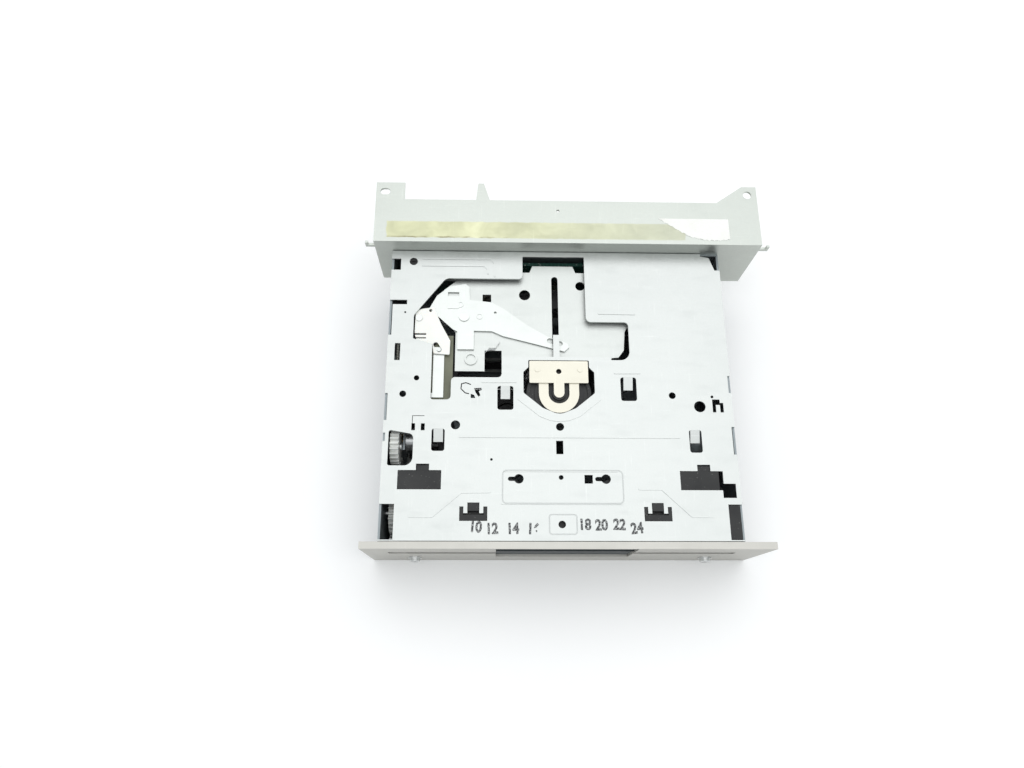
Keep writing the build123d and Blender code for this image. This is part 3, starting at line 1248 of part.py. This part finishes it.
save("feed_screw", make_feed_screw())
save("feed_motor", make_feed_motor())
save("main_board", make_board(), *make_chips())
save("rear_connectors", *make_connectors())
save("mechanism_plate", make_mech_plate())
save("plate_screw", make_plate_screw())
save("rear_screw_bearings", *make_rear_bearings())
save("lever_arm", make_lever_arm())
save("lever_pivots", make_arm_pivot(), make_selector_pivot())
save("stop_pin", make_stop_pin())
save("slide_bar", make_slide_bar())
save("slide_rail", make_slide_rail())
save("ground_spring", make_ground_spring())
save("selector_lever", make_selector())
save("clamp_arm", make_clamp_arm())
save("clamp_spring", make_clamp_spring())
save("clamper", make_clamper())
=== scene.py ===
"""Looks of a bare six-disc in-dash CD changer deck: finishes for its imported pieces, and its finest parts."""

from math import pi

import bpy
import numpy as np
from mathutils import Matrix, Vector


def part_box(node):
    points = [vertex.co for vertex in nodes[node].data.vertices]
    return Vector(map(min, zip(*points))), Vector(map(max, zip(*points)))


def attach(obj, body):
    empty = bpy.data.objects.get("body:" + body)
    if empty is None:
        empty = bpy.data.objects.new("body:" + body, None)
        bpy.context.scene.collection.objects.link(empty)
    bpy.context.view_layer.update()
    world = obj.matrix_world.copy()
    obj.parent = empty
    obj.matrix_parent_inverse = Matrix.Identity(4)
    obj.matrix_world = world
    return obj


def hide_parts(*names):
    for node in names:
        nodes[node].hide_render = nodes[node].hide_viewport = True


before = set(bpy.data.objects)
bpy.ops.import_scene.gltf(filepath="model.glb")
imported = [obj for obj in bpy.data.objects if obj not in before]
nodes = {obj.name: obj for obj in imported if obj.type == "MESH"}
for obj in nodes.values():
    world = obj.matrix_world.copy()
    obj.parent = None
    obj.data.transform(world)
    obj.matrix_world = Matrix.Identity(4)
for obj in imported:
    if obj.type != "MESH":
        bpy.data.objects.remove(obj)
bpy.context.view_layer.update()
mm = 0.001

# ---- camera and light ----
# The photograph is taken from above the disc slot, a little to the left. Soft light comes from a wide
# lamp over the deck, and the sheet it lies on is plain and pale.
camera_place = Vector((-31.7, -111.6, 394.2)) * mm
camera_right = Vector((0.99965, -0.00168, 0.02626))
camera_up = Vector((-0.00677, 0.94783, 0.31871))
photo_width = 1024
focal_pixels = 763.0
sensor_width = 36.0

camera_data = bpy.data.cameras.new("camera")
camera_data.sensor_width = sensor_width
camera_data.lens = focal_pixels / photo_width * sensor_width
camera_data.clip_start = 0.01
camera = bpy.data.objects.new("camera", camera_data)
bpy.context.scene.collection.objects.link(camera)
camera_back = camera_right.cross(camera_up).normalized()
turn = Matrix((camera_right, camera_up, camera_back)).transposed().to_4x4()
camera.matrix_world = Matrix.Translation(camera_place) @ turn
bpy.context.scene.camera = camera
bpy.context.scene.view_settings.view_transform = "Standard"


def soft_lamp(name, place, size, watts, aim):
    """A square area lamp at a place, turned towards a point."""
    data = bpy.data.lights.new(name, "AREA")
    data.shape = "SQUARE"
    data.size = size
    data.energy = watts
    lamp = bpy.data.objects.new(name, data)
    bpy.context.scene.collection.objects.link(lamp)
    lamp.location = place
    lamp.rotation_mode = "QUATERNION"
    lamp.rotation_quaternion = (Vector(aim) - Vector(place)).to_track_quat("-Z", "Y")


soft_lamp("overhead", place=(0.10, 0.35, 1.15), size=1.5, watts=9.7, aim=(0.10, 0.35, 0.0))

sky_colour = (0.93, 0.97, 1.0, 1.0)
sky_strength = 0.72

world = bpy.data.worlds.new("studio")
world.use_nodes = True
bpy.context.scene.world = world
world.node_tree.nodes["Background"].inputs["Color"].default_value = sky_colour
world.node_tree.nodes["Background"].inputs["Strength"].default_value = sky_strength


# ---- shader maths ----
# Every finish is a small tree of nodes. A Value wraps one socket, so that a pattern is written as a sum.
class Value:
    """One output socket. Each operator adds the Math node of its name."""

    def __init__(self, finish, socket):
        self.finish = finish
        self.socket = socket

    def math(self, operation, *terms):
        return self.finish.add("ShaderNodeMath", {"operation": operation}, dict(enumerate(terms)))

    def __add__(self, other):
        return self.math("ADD", self, other)

    def __radd__(self, other):
        return self.math("ADD", other, self)

    def __sub__(self, other):
        return self.math("SUBTRACT", self, other)

    def __rsub__(self, other):
        return self.math("SUBTRACT", other, self)

    def __mul__(self, other):
        return self.math("MULTIPLY", self, other)

    def __gt__(self, other):
        return self.math("GREATER_THAN", self, other)

    def __lt__(self, other):
        return self.math("LESS_THAN", self, other)

    def __abs__(self):
        return self.math("ABSOLUTE", self)


class Finish:
    """A material in the making, on the piece's own Object coordinates."""

    def __init__(self, name):
        self.material = bpy.data.materials.new(name)
        self.material.use_nodes = True
        self.tree = self.material.node_tree
        self.shader = self.tree.nodes["Principled BSDF"]
        self.place = self.add("ShaderNodeTexCoord", {}, {}, 3)

    def add(self, kind, settings, values, output=0):
        """Adds a node, sets its settings, then its sockets to numbers, colours or links."""
        made = self.tree.nodes.new(kind)
        for key in settings:
            setattr(made, key, settings[key])
        for key in values:
            self.join(made.inputs[key], values[key])
        return Value(self, made.outputs[output])

    def join(self, socket, value):
        """Links a Value to a socket, or sets the socket's own number or colour."""
        if isinstance(value, Value):
            self.tree.links.new(value.socket, socket)
        elif socket.type == "RGBA" and len(value) == 3:
            socket.default_value = (*value, 1.0)
        else:
            socket.default_value = value

    def axes(self):
        """The piece's x, y and z in metres."""
        parts = self.add("ShaderNodeSeparateXYZ", {}, {"Vector": self.place})
        return [Value(self, output) for output in parts.socket.node.outputs]

    def stretched(self, scale, turned=(0.0, 0.0, 0.0)):
        """The piece's coordinates, scaled by axis and turned."""
        return self.add("ShaderNodeMapping", {}, {"Vector": self.place, "Scale": scale, "Rotation": turned})

    def noise(self, scale, low=0.35, high=0.65, detail=3.0, place=None, distortion=0.0):
        """Smooth noise spread from 0 at low to 1 at high, with a grain of about 1 / scale metres."""
        raw = self.add("ShaderNodeTexNoise", {}, {
            "Vector": place or self.place, "Scale": scale, "Detail": detail, "Distortion": distortion})
        return self.spread(raw, low, high)

    def spread(self, raw, low, high):
        """A value brought from the range low..high to 0..1, and cut off there."""
        return self.add("ShaderNodeMapRange", {}, {"Value": raw, "From Min": low, "From Max": high})

    def cells(self, scale):
        """A number from 0 to 1 for each cell of a pattern of crystals or flecks."""
        colour = self.add("ShaderNodeTexVoronoi", {}, {"Vector": self.place, "Scale": scale}, 1)
        return self.add("ShaderNodeSeparateColor", {}, {"Color": colour})

    def dots(self, scale, size):
        """1 in small scattered round spots, 0 between them."""
        away = self.add("ShaderNodeTexVoronoi", {}, {"Vector": self.place, "Scale": scale})
        return away < size

    def mix(self, share, first, second):
        """The first colour where share is 0, the second where it is 1."""
        return self.add("ShaderNodeMix", {"data_type": "RGBA"}, {0: share, 6: first, 7: second}, 2)

    def bump(self, height, distance):
        """Relief that is seen but not modelled, as high as distance where height is 1."""
        return self.add("ShaderNodeBump", {}, {"Height": height, "Distance": distance, "Strength": 1.0})

    def surface(self, **sockets):
        """Sets the shader's sockets, named with _ for a space."""
        for name in sockets:
            self.join(self.shader.inputs[name.replace("_", " ")], sockets[name])
        return self.material


def shaded(colour, share):
    """A colour made darker or lighter by one share."""
    return tuple(min(1.0, channel * share) for channel in colour)


def wear(node, material):
    """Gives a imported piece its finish."""
    piece = nodes[node]
    piece.data.materials.clear()
    piece.data.materials.append(material)


# ---- pressed zinc-plated sheet: lid, chassis, front plate, brackets, mechanism plate ----
# Steel sheet, galvanised and punched. It has a faint crystal pattern, cloudy handling marks, hairline
# scratches from the press and the bench, and a duller tone where it was rubbed.
def sheet_finish(name, tone, roughness, metallic=0.9, stain_and_shade=None, grooves=None):
    """The stain hook changes the colour and roughness in places: a real stain on some pieces, painted shade on
    others. grooves gives 1 where a line is pressed in, and the colour is darkened along those lines as painted
    shade.
    """
    finish = Finish(name)
    clouds = finish.noise(26.0, 0.30, 0.72, 5.0, distortion=0.6)
    smears = finish.noise(60.0, 0.52, 0.70, 3.0, finish.stretched((1.0, 3.5, 1.0), (0.0, 0.0, 0.5)))
    crystals = finish.cells(520.0)
    grain = finish.noise(3800.0, 0.25, 0.75, 4.0)
    long_marks = finish.noise(1.0, 0.66, 0.74, 2.0, finish.stretched((2600.0, 60.0, 600.0), (0.0, 0.0, 0.35)))
    cross_marks = finish.noise(1.0, 0.68, 0.76, 2.0, finish.stretched((50.0, 2300.0, 600.0), (0.0, 0.0, -0.2)))
    marks = long_marks + cross_marks
    light = clouds * 0.42 + crystals * 0.22 + grain * 0.26 + smears * 0.16
    colour = finish.mix(light, shaded(tone, 0.86), shaded(tone, 1.07))
    colour = finish.mix(marks * 0.25, colour, shaded(tone, 1.2))
    rough = roughness + clouds * 0.10 + crystals * 0.05 - marks * 0.08 + smears * 0.06
    if stain_and_shade:
        colour, rough = stain_and_shade(finish, colour, rough)
    relief = grain * 0.5 + crystals * 0.3 - marks * 0.6
    if grooves:
        lines = grooves(finish)
        relief = relief - lines * groove_depth
        # Painted shade: the colour is darkened along the pressed grooves.
        colour = finish.mix(lines * 0.2, colour, shaded(tone, 0.6))
    return finish.surface(Base_Color=colour, Roughness=rough, Metallic=metallic,
                          Normal=finish.bump(relief, 0.012 * mm))


lid_tone = (0.552, 0.570, 0.555)
# Painted shade: the chassis and the roller and motor brackets lie under the lid, so they get the same zinc tone
# made about half as bright.
shaded_chassis_tone = (0.27, 0.30, 0.31)
# The front plate's warm beige cast is a painted reflection of the pale sheet in front of the deck, laid over its
# zinc tone.
front_tone_with_reflection = (0.50, 0.49, 0.455)
bracket_tone = (0.56, 0.585, 0.545)
mechanism_tone = (0.56, 0.58, 0.56)
lever_tone = (0.60, 0.62, 0.60)
for piece_name, tone, roughness in (
        ("front_plate", front_tone_with_reflection, 0.40), ("mechanism_plate", mechanism_tone, 0.36),
        ("lever_arm", lever_tone, 0.32), ("slide_bar", lever_tone, 0.32),
        ("roller_bracket_left", shaded_chassis_tone, 0.40), ("motor_brackets", shaded_chassis_tone, 0.40),
        ("play_unit_frame", mechanism_tone, 0.40)):
    wear(piece_name, sheet_finish(piece_name + "_zinc", tone, roughness))

# The lid has two rounded frames pressed into it, a small one round the hole near its front edge and a longer
# one round the keyholes. Each line is a groove half a millimetre wide. A frame is its middle, half its width
# and depth, and the radius of its corners, in millimetres.
pressed_frames = ((0.5, -62.2, 6.2, 4.4, 1.2), (0.75, -45.2, 27.6, 7.6, 2.0))
groove_half = 0.28
groove_floor = groove_half * 0.4
groove_depth = 6.0


def pressed_lines(finish):
    """1 along the outline of each rounded frame, 0 elsewhere."""
    x, y = (axis * 1000.0 for axis in finish.axes()[:2])
    lines = 0.0
    for middle_x, middle_y, half_x, half_y, corner in pressed_frames:
        out_x = abs(x - middle_x) - (half_x - corner)
        out_y = abs(y - middle_y) - (half_y - corner)
        far_x, far_y = (out.math("MAXIMUM", out, 0.0) for out in (out_x, out_y))
        inner = out_x.math("MINIMUM", out_x.math("MAXIMUM", out_x, out_y), 0.0)
        away = inner.math("SQRT", far_x * far_x + far_y * far_y) + inner - corner
        lines = lines + (1.0 - finish.spread(abs(away), groove_floor, groove_half))
    return lines


wear("lid", sheet_finish("lid_zinc", lid_tone, 0.34, grooves=pressed_lines))

# The chassis' front wall, seen through the window of the front plate, lies in shade; that shade is painted into
# its colour, darkening it almost to black.
front_wall = -68.2 * mm
front_wall_half = 80.5 * mm
front_shade_edge = 0.4 * mm
front_shade_tone = (0.035, 0.04, 0.04)


def painted_front_shade(finish, colour, rough):
    """Paints shade on the front wall, between the side walls, darkening it and making it a little rougher."""
    x, y, _ = finish.axes()
    front_shade_mask = 1.0 - finish.spread(y, front_wall, front_wall + front_shade_edge)
    front_shade_mask = front_shade_mask * (abs(x) < front_wall_half)
    return finish.mix(front_shade_mask * 0.8, colour, front_shade_tone), rough + front_shade_mask * 0.12


wear("bottom_chassis", sheet_finish("bottom_chassis_zinc", shaded_chassis_tone, 0.42, stain_and_shade=painted_front_shade))

# The shelf of the rear bracket keeps the yellowed glue of a strip that was peeled off, with a torn front edge
# that is browned at the left. It is drawn on the sheet as a band with ragged sides.
residue_left = -85.0 * mm
residue_right = 64.0 * mm
residue_front = 76.9 * mm
residue_rear = 86.4 * mm
ragged_reach = 0.8 * mm
soft = 0.5 * mm
brown_start = -12.0 * mm
brown_full = -40.0 * mm
shelf_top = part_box("rear_bracket")[1].z
shelf_height = shelf_top - 0.95 * mm


def glue_stain(finish, colour, rough):
    """Lays the yellowed band over the sheet's colour, between its four ragged edges."""
    x, y, z = finish.axes()
    ragged = finish.noise(220.0, 0.2, 0.8, 4.0) * (2.0 * ragged_reach) - ragged_reach
    across = y + ragged * 0.4
    along = x + ragged
    inside = finish.spread(across, residue_front, residue_front + soft)
    inside = inside * (1.0 - finish.spread(across, residue_rear - soft, residue_rear))
    inside = inside * finish.spread(along, residue_left, residue_left + soft)
    inside = inside * (1.0 - finish.spread(along, residue_right - soft, residue_right))
    inside = inside * (z > shelf_height)
    patchy = finish.noise(70.0, 0.25, 0.75, 4.0, distortion=1.2)
    fade = 1.0 - finish.spread(x, residue_left * 0.5, residue_right) * 0.55
    yellow = finish.mix(patchy, (0.66, 0.65, 0.37), (0.80, 0.80, 0.56))
    rim = (finish.spread(across, residue_front, residue_front + 0.4 * mm)
           * (1.0 - finish.spread(across, residue_front + 0.5 * mm, residue_front + 1.3 * mm)))
    rim = rim * (1.0 - finish.spread(x, brown_full, brown_start)) * finish.noise(150.0, 0.4, 0.6)
    colour = finish.mix(inside * fade * (0.62 + patchy * 0.3), colour, yellow)
    colour = finish.mix(inside * rim * 0.75, colour, (0.20, 0.15, 0.07))
    return colour, rough + inside * 0.22


wear("rear_bracket", sheet_finish("rear_bracket_zinc", bracket_tone, 0.38, stain_and_shade=glue_stain))

# ---- cream-plated clamp ----
# The clamp arm and its U-shaped spring are thin plated strip with a warm, creamy passivation.
clamp_tone = (0.68, 0.655, 0.565)
for piece_name in ("clamp_arm", "clamp_spring"):
    wear(piece_name, sheet_finish(piece_name + "_plate", clamp_tone, 0.40, 0.75))


# ---- black mouldings ----
# Glass-filled nylon, moulded with a fine spark-eroded grain. It is a little cloudy and gathers pale dust.
def moulded_finish(name, tone, roughness, dust=0.25, grain_size=2600.0):
    finish = Finish(name)
    grain = finish.noise(grain_size, 0.2, 0.8, 3.0)
    clouds = finish.noise(90.0, 0.35, 0.7, 4.0)
    specks = finish.dots(900.0, 0.16) * finish.noise(200.0, 0.45, 0.6)
    colour = finish.mix(clouds * 0.6 + grain * 0.3, shaded(tone, 0.85), shaded(tone, 1.3))
    colour = finish.mix((clouds * 0.12 + specks) * dust, colour, (0.55, 0.54, 0.50))
    rough = roughness + clouds * 0.12 - grain * 0.05
    return finish.surface(Base_Color=colour, Roughness=rough, Specular_IOR_Level=0.3,
                          Normal=finish.bump(grain, 0.02 * mm))


black_tone = (0.015, 0.0155, 0.016)
tray_tone = (0.075, 0.075, 0.08)
for piece_name in ("upper_disc_guide", "roller_bracket_right", "rear_screw_bearings", "clamper", "stop_pin",
                   "floor_guides", "traverse_base", "pickup_sled"):
    wear(piece_name, moulded_finish(piece_name + "_black", black_tone, 0.44))
for tray_number in range(1, 7):
    wear(f"disc_tray_{tray_number}", moulded_finish(f"tray_{tray_number}_grey", tray_tone, 0.36, 0.15))
wear("slide_rail", moulded_finish("rail_olive", (0.150, 0.155, 0.105), 0.30, 0.1))

# ---- white and grey acetal gears, selector, jaws and lift screws ----
# Acetal is moulded smooth and lets a little light in. Gears carry a thin film of grease that darkens
# their teeth unevenly.
def acetal_finish(name, tone, roughness, grease):
    finish = Finish(name)
    clouds = finish.noise(140.0, 0.35, 0.75, 4.0)
    grain = finish.noise(1800.0, 0.2, 0.8, 2.0)
    colour = finish.mix(clouds * grease, tone, shaded(tone, 0.55))
    colour = finish.mix(grain * 0.2, colour, shaded(tone, 1.05))
    rough = roughness + clouds * 0.16
    return finish.surface(Base_Color=colour, Roughness=rough, Subsurface_Weight=0.12,
                          Subsurface_Radius=(1.2 * mm, 1.0 * mm, 0.8 * mm), Normal=finish.bump(grain, 0.008 * mm))


gear_tone = (0.66, 0.67, 0.64)
grey_tone = (0.42, 0.43, 0.43)
wear("selector_lever", acetal_finish("selector_white", (0.86, 0.86, 0.81), 0.34, 0.06))
for piece_name in ("upper_gear", "front_idler_gear", "rear_idler_gear", "roller_gear", "chuck_jaws"):
    wear(piece_name, acetal_finish(piece_name + "_white", gear_tone, 0.28, 0.45))
for piece_name in ("ring_gear", "turntable", "lift_screw_front_left", "lift_screw_front_right",
                   "lift_screw_rear_left", "lift_screw_rear_right"):
    wear(piece_name, acetal_finish(piece_name + "_grey", grey_tone, 0.32, 0.35))


# ---- turned and drawn metal: screws, pins, shafts, rods, motor cans, pinions ----
# Bar and wire turned on a lathe or drawn through a die, which leaves fine lines along or round the piece.
def turned_finish(name, tone, roughness, lines=(200.0, 4000.0, 4000.0)):
    finish = Finish(name)
    drawn = finish.noise(1.0, 0.3, 0.7, 3.0, finish.stretched(lines))
    clouds = finish.noise(160.0, 0.35, 0.7, 3.0)
    colour = finish.mix(drawn * 0.5 + clouds * 0.4, shaded(tone, 0.8), shaded(tone, 1.12))
    rough = roughness + clouds * 0.12 + drawn * 0.06
    return finish.surface(Base_Color=colour, Roughness=rough, Metallic=1.0,
                          Normal=finish.bump(drawn, 0.006 * mm))


steel_tone = (0.68, 0.69, 0.68)
for piece_name in ("front_screws", "bracket_screws", "roller_shaft", "guide_rods", "gear_studs", "feed_screw"):
    wear(piece_name, turned_finish(piece_name + "_steel", steel_tone, 0.22))
wear("lever_pivots", turned_finish("lever_pivots_zinc", lever_tone, 0.30))
wear("ground_spring", turned_finish("ground_spring_wire", (0.34, 0.34, 0.30), 0.30))
wear("plate_screw", turned_finish("plate_screw_black", (0.035, 0.035, 0.035), 0.40))
for piece_name in ("loading_motor", "lift_motor", "spindle_motor", "feed_motor"):
    wear(piece_name, turned_finish(piece_name + "_can", (0.52, 0.53, 0.53), 0.30, (90.0, 90.0, 3000.0)))
for piece_name in ("loading_motor_pinion", "lift_motor_pinion"):
    wear(piece_name, turned_finish(piece_name + "_brass", (0.68, 0.50, 0.22), 0.25))

# ---- rubber roller sleeves and dampers ----
# Soft black rubber, ground round, with a dry, slightly dusty skin.
for piece_name in ("roller_sleeves", "dampers"):
    wear(piece_name, moulded_finish(piece_name + "_rubber", (0.022, 0.022, 0.022), 0.72, 0.5, 1500.0))


# ---- main board and its connectors ----
# Dark green solder mask lies over copper tracks, which show as paler straight runs, with small tinned pads.
# The connectors are cream nylon.
def board_finish():
    finish = Finish("board_green")
    tracks = finish.add("ShaderNodeTexBrick", {}, {
        "Vector": finish.stretched((1.0, 1.0, 1.0), (pi / 2, 0.0, 0.0)), "Scale": 260.0,
        "Mortar Size": 0.06, "Color1": (0, 0, 0), "Color2": (0, 0, 0), "Mortar": (1, 1, 1)})
    pads = finish.dots(420.0, 0.20)
    clouds = finish.noise(50.0, 0.4, 0.7)
    paler = finish.add("ShaderNodeSeparateColor", {}, {"Color": tracks}) * 0.7
    colour = finish.mix(paler, (0.006, 0.040, 0.030), (0.020, 0.085, 0.060))
    colour = finish.mix(pads * clouds, colour, (0.62, 0.60, 0.55))
    return finish.surface(Base_Color=colour, Roughness=0.32 + clouds * 0.2, Metallic=pads * clouds)


wear("main_board", board_finish())
wear("rear_connectors", acetal_finish("connector_cream", (0.72, 0.68, 0.56), 0.42, 0.1))

# ---- pickup lens ----
# A small moulded lens with a bluish anti-reflection coat.
lens_finish = Finish("lens_coated")
coat_clouds = lens_finish.noise(900.0, 0.3, 0.7)
coat_colour = lens_finish.mix(coat_clouds, (0.30, 0.42, 0.75), (0.42, 0.36, 0.72))
wear("objective_lens", lens_finish.surface(
    Base_Color=coat_colour, Roughness=0.05 + coat_clouds * 0.03, Transmission_Weight=0.5, IOR=1.5))


# ---- torn paper strip ----
# What is left of a paper strip on the shelf: blank, with a long torn edge towards the front left and a
# little lift at the tear. Its places are in millimetres.
paper_left = 51.3
paper_right = 86.3
paper_rear = 89.3
paper_thickness = 0.05
tear_x = [paper_left, 58.1, 66.2, 74.0, 80.0, paper_right]
tear_y = [89.1, 84.4, 79.2, 77.4, 77.2, 77.9]
paper_rows = 16
paper_columns = 90


def grid_mesh(name, x, y, z, closed_across=False):
    """A mesh through a grid of points: each of the three arrays holds one coordinate, rows by columns."""
    rows, columns = x.shape
    points = np.stack([x, y, z], axis=-1).reshape(-1, 3)
    index = np.arange(rows * columns).reshape(rows, columns)
    if closed_across:
        index = np.concatenate([index, index[:, :1]], axis=1)
    corners = np.stack([index[:-1, :-1], index[:-1, 1:], index[1:, 1:], index[1:, :-1]], axis=-1).reshape(-1, 4)
    mesh = bpy.data.meshes.new(name)
    mesh.from_pydata(points.tolist(), [], corners.tolist())
    mesh.update()
    piece = bpy.data.objects.new(name, mesh)
    bpy.context.scene.collection.objects.link(piece)
    return piece


def torn_paper():
    """Rows run from the ragged front edge to the straight rear edge, columns from left to right."""
    share = np.linspace(0.0, 1.0, paper_columns)
    along = paper_left + (paper_right - paper_left) * share
    edge = np.interp(along, tear_x, tear_y)
    rough_edge = 0.20 * np.sin(2.3 * along) + 0.13 * np.sin(5.9 * along + 1.0) + 0.07 * np.sin(13.1 * along)
    edge = np.minimum(edge + rough_edge, paper_rear - 0.05)
    depth = np.linspace(0.0, 1.0, paper_rows)[:, None]
    y = edge[None, :] + (paper_rear - edge)[None, :] * depth
    x = np.broadcast_to(along[None, :], y.shape)
    curl = 0.10 * np.exp(-6.0 * depth) * (0.6 + 0.4 * np.sin(0.9 * x))
    waves = 0.012 * np.sin(1.7 * x + 2.0 * y)
    z = shelf_top + (0.06 + curl + waves) * mm
    return grid_mesh("torn_paper_strip", x * mm, y * mm, z)


paper = torn_paper()
paper_wall = paper.modifiers.new("thickness", "SOLIDIFY")
paper_wall.thickness = paper_thickness * mm
paper_wall.offset = -1.0
paper_finish = Finish("paper_white")
fibre_run = paper_finish.stretched((900.0, 2600.0, 900.0), (0.0, 0.0, 0.6))
fibres = paper_finish.noise(1.0, 0.35, 0.7, 4.0, fibre_run)
stains = paper_finish.noise(70.0, 0.5, 0.75, 4.0)
paper_colour = paper_finish.mix(fibres * 0.25 + stains * 0.3, (0.88, 0.88, 0.85), (0.74, 0.71, 0.62))
paper.data.materials.append(paper_finish.surface(
    Base_Color=paper_colour, Roughness=0.82 + fibres * 0.1, Normal=paper_finish.bump(fibres, 0.02 * mm)))
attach(paper, "deck")
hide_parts("blank_label")

# ---- stamped numbers ----
# Plain numbers that a worker stamped in black ink along the lid's front edge, unevenly inked and a little
# crooked. Each has its x and y in millimetres and its tilt in degrees.
stamp_size = 6.7
stamp_narrow = 0.84
ink_spread = 0.28
ink_above = 0.03
stamp_places = (("10", -38.9, -63.5, -4.0), ("12", -31.6, -64.3, 2.0), ("14", -22.2, -64.3, 2.0),
                ("16", -13.0, -64.4, -3.0), ("18", 10.2, -62.4, 1.0), ("20", 17.7, -62.6, 2.0),
                ("22", 25.8, -62.4, -2.0), ("24", 33.7, -64.0, 6.0))
lid_top = 50.0 * mm
ink_finish = Finish("stamp_ink")
blots = ink_finish.noise(1400.0, 0.35, 0.62, 3.0)
ink_colour = ink_finish.mix(blots, (0.09, 0.09, 0.10), (0.02, 0.02, 0.022))
ink_material = ink_finish.surface(
    Base_Color=ink_colour, Roughness=0.55 + blots * 0.1, Alpha=0.25 + blots * 0.75)
for number, middle, row, tilt in stamp_places:
    letters = bpy.data.curves.new("stamp_" + number, "FONT")
    letters.body = number
    letters.size = stamp_size * mm
    letters.align_x = "CENTER"
    letters.align_y = "CENTER"
    letters.offset = ink_spread * mm
    drawn_text = bpy.data.objects.new("stamp_text_" + number, letters)
    bpy.context.scene.collection.objects.link(drawn_text)
    bpy.context.view_layer.update()
    evaluated = drawn_text.evaluated_get(bpy.context.evaluated_depsgraph_get())
    flat = bpy.data.meshes.new_from_object(evaluated)
    flat.name = "stamp_" + number
    flat.transform(Matrix.Translation((middle * mm, row * mm, lid_top + ink_above * mm))
                   @ Matrix.Rotation(tilt * pi / 180.0, 4, "Z")
                   @ Matrix.Diagonal((stamp_narrow, 1.0, 1.0, 1.0)))
    bpy.data.objects.remove(drawn_text)
    stamp = bpy.data.objects.new("stamp_" + number, flat)
    bpy.context.scene.collection.objects.link(stamp)
    stamp.data.materials.clear()
    stamp.data.materials.append(ink_material)
    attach(stamp, "deck")


# ---- wire spring beside the mechanism plate ----
# A fine torsion spring: a few turns of wire and a leg at each end. Its places are in millimetres.
skew_axis = np.array([0.31, 0.17, 0.93])
closed_end = 0.02


def wire(name, line, radius, sides=10):
    """A round wire along a line of points, each ring square to the line, the end rings drawn almost to a point.

    No stretch of the line may run along skew_axis.
    """
    heading = np.gradient(line, axis=0)
    heading /= np.linalg.norm(heading, axis=1)[:, None]
    across = np.cross(heading, skew_axis)
    across /= np.linalg.norm(across, axis=1)[:, None]
    over = np.cross(heading, across)
    angle = np.linspace(0.0, 2.0 * pi, sides, endpoint=False)
    ring = (line[:, None, :] + radius * np.cos(angle)[None, :, None] * across[:, None, :]
            + radius * np.sin(angle)[None, :, None] * over[:, None, :])
    ring[0] = line[0] + (ring[0] - line[0]) * closed_end
    ring[-1] = line[-1] + (ring[-1] - line[-1]) * closed_end
    return grid_mesh(name, ring[..., 0] * mm, ring[..., 1] * mm, ring[..., 2] * mm, closed_across=True)


hairpin_turns = 5.0
hairpin_coil = 0.75
hairpin_pitch = 0.62
hairpin_wire = 0.16
coil_start = np.array([-33.4, 22.9, 47.0])
first_foot = np.array([-35.4, 21.2, 47.0])
last_foot = np.array([-28.2, 27.0, 47.1])
coil_points = 120
leg_points = 12
turned = np.linspace(0.0, hairpin_turns * 2.0 * pi, coil_points)
coil_line = coil_start + np.stack([
    hairpin_pitch * turned / (2.0 * pi), hairpin_coil * np.cos(turned), hairpin_coil * np.sin(turned)], axis=1)
share = np.linspace(0.0, 1.0, leg_points)[:, None]
first_leg = (1.0 - share) * first_foot + share * coil_line[0]
last_leg = (1.0 - share) * coil_line[-1] + share * last_foot
hairpin_line = np.concatenate([first_leg[:-1], coil_line, last_leg[1:]])
hairpin = wire("hairpin_spring", hairpin_line, hairpin_wire)
hairpin.data.materials.append(turned_finish("hairpin_steel", steel_tone, 0.25, (900.0, 900.0, 900.0)))
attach(hairpin, "deck")

# ---- floor ----
# A plain pale sheet under the deck.
floor_half = 3.0
floor_mesh = bpy.data.meshes.new("floor")
floor_mesh.from_pydata([(-floor_half, -floor_half, 0.0), (floor_half, -floor_half, 0.0),
                        (floor_half, floor_half, 0.0), (-floor_half, floor_half, 0.0)], [], [(0, 1, 2, 3)])
floor = bpy.data.objects.new("floor", floor_mesh)
bpy.context.scene.collection.objects.link(floor)
floor_finish = Finish("floor_white")
floor_finish.surface(Base_Color=(0.98, 0.975, 0.965), Roughness=0.9, Specular_IOR_Level=0.1)
floor.data.materials.append(floor_finish.material)
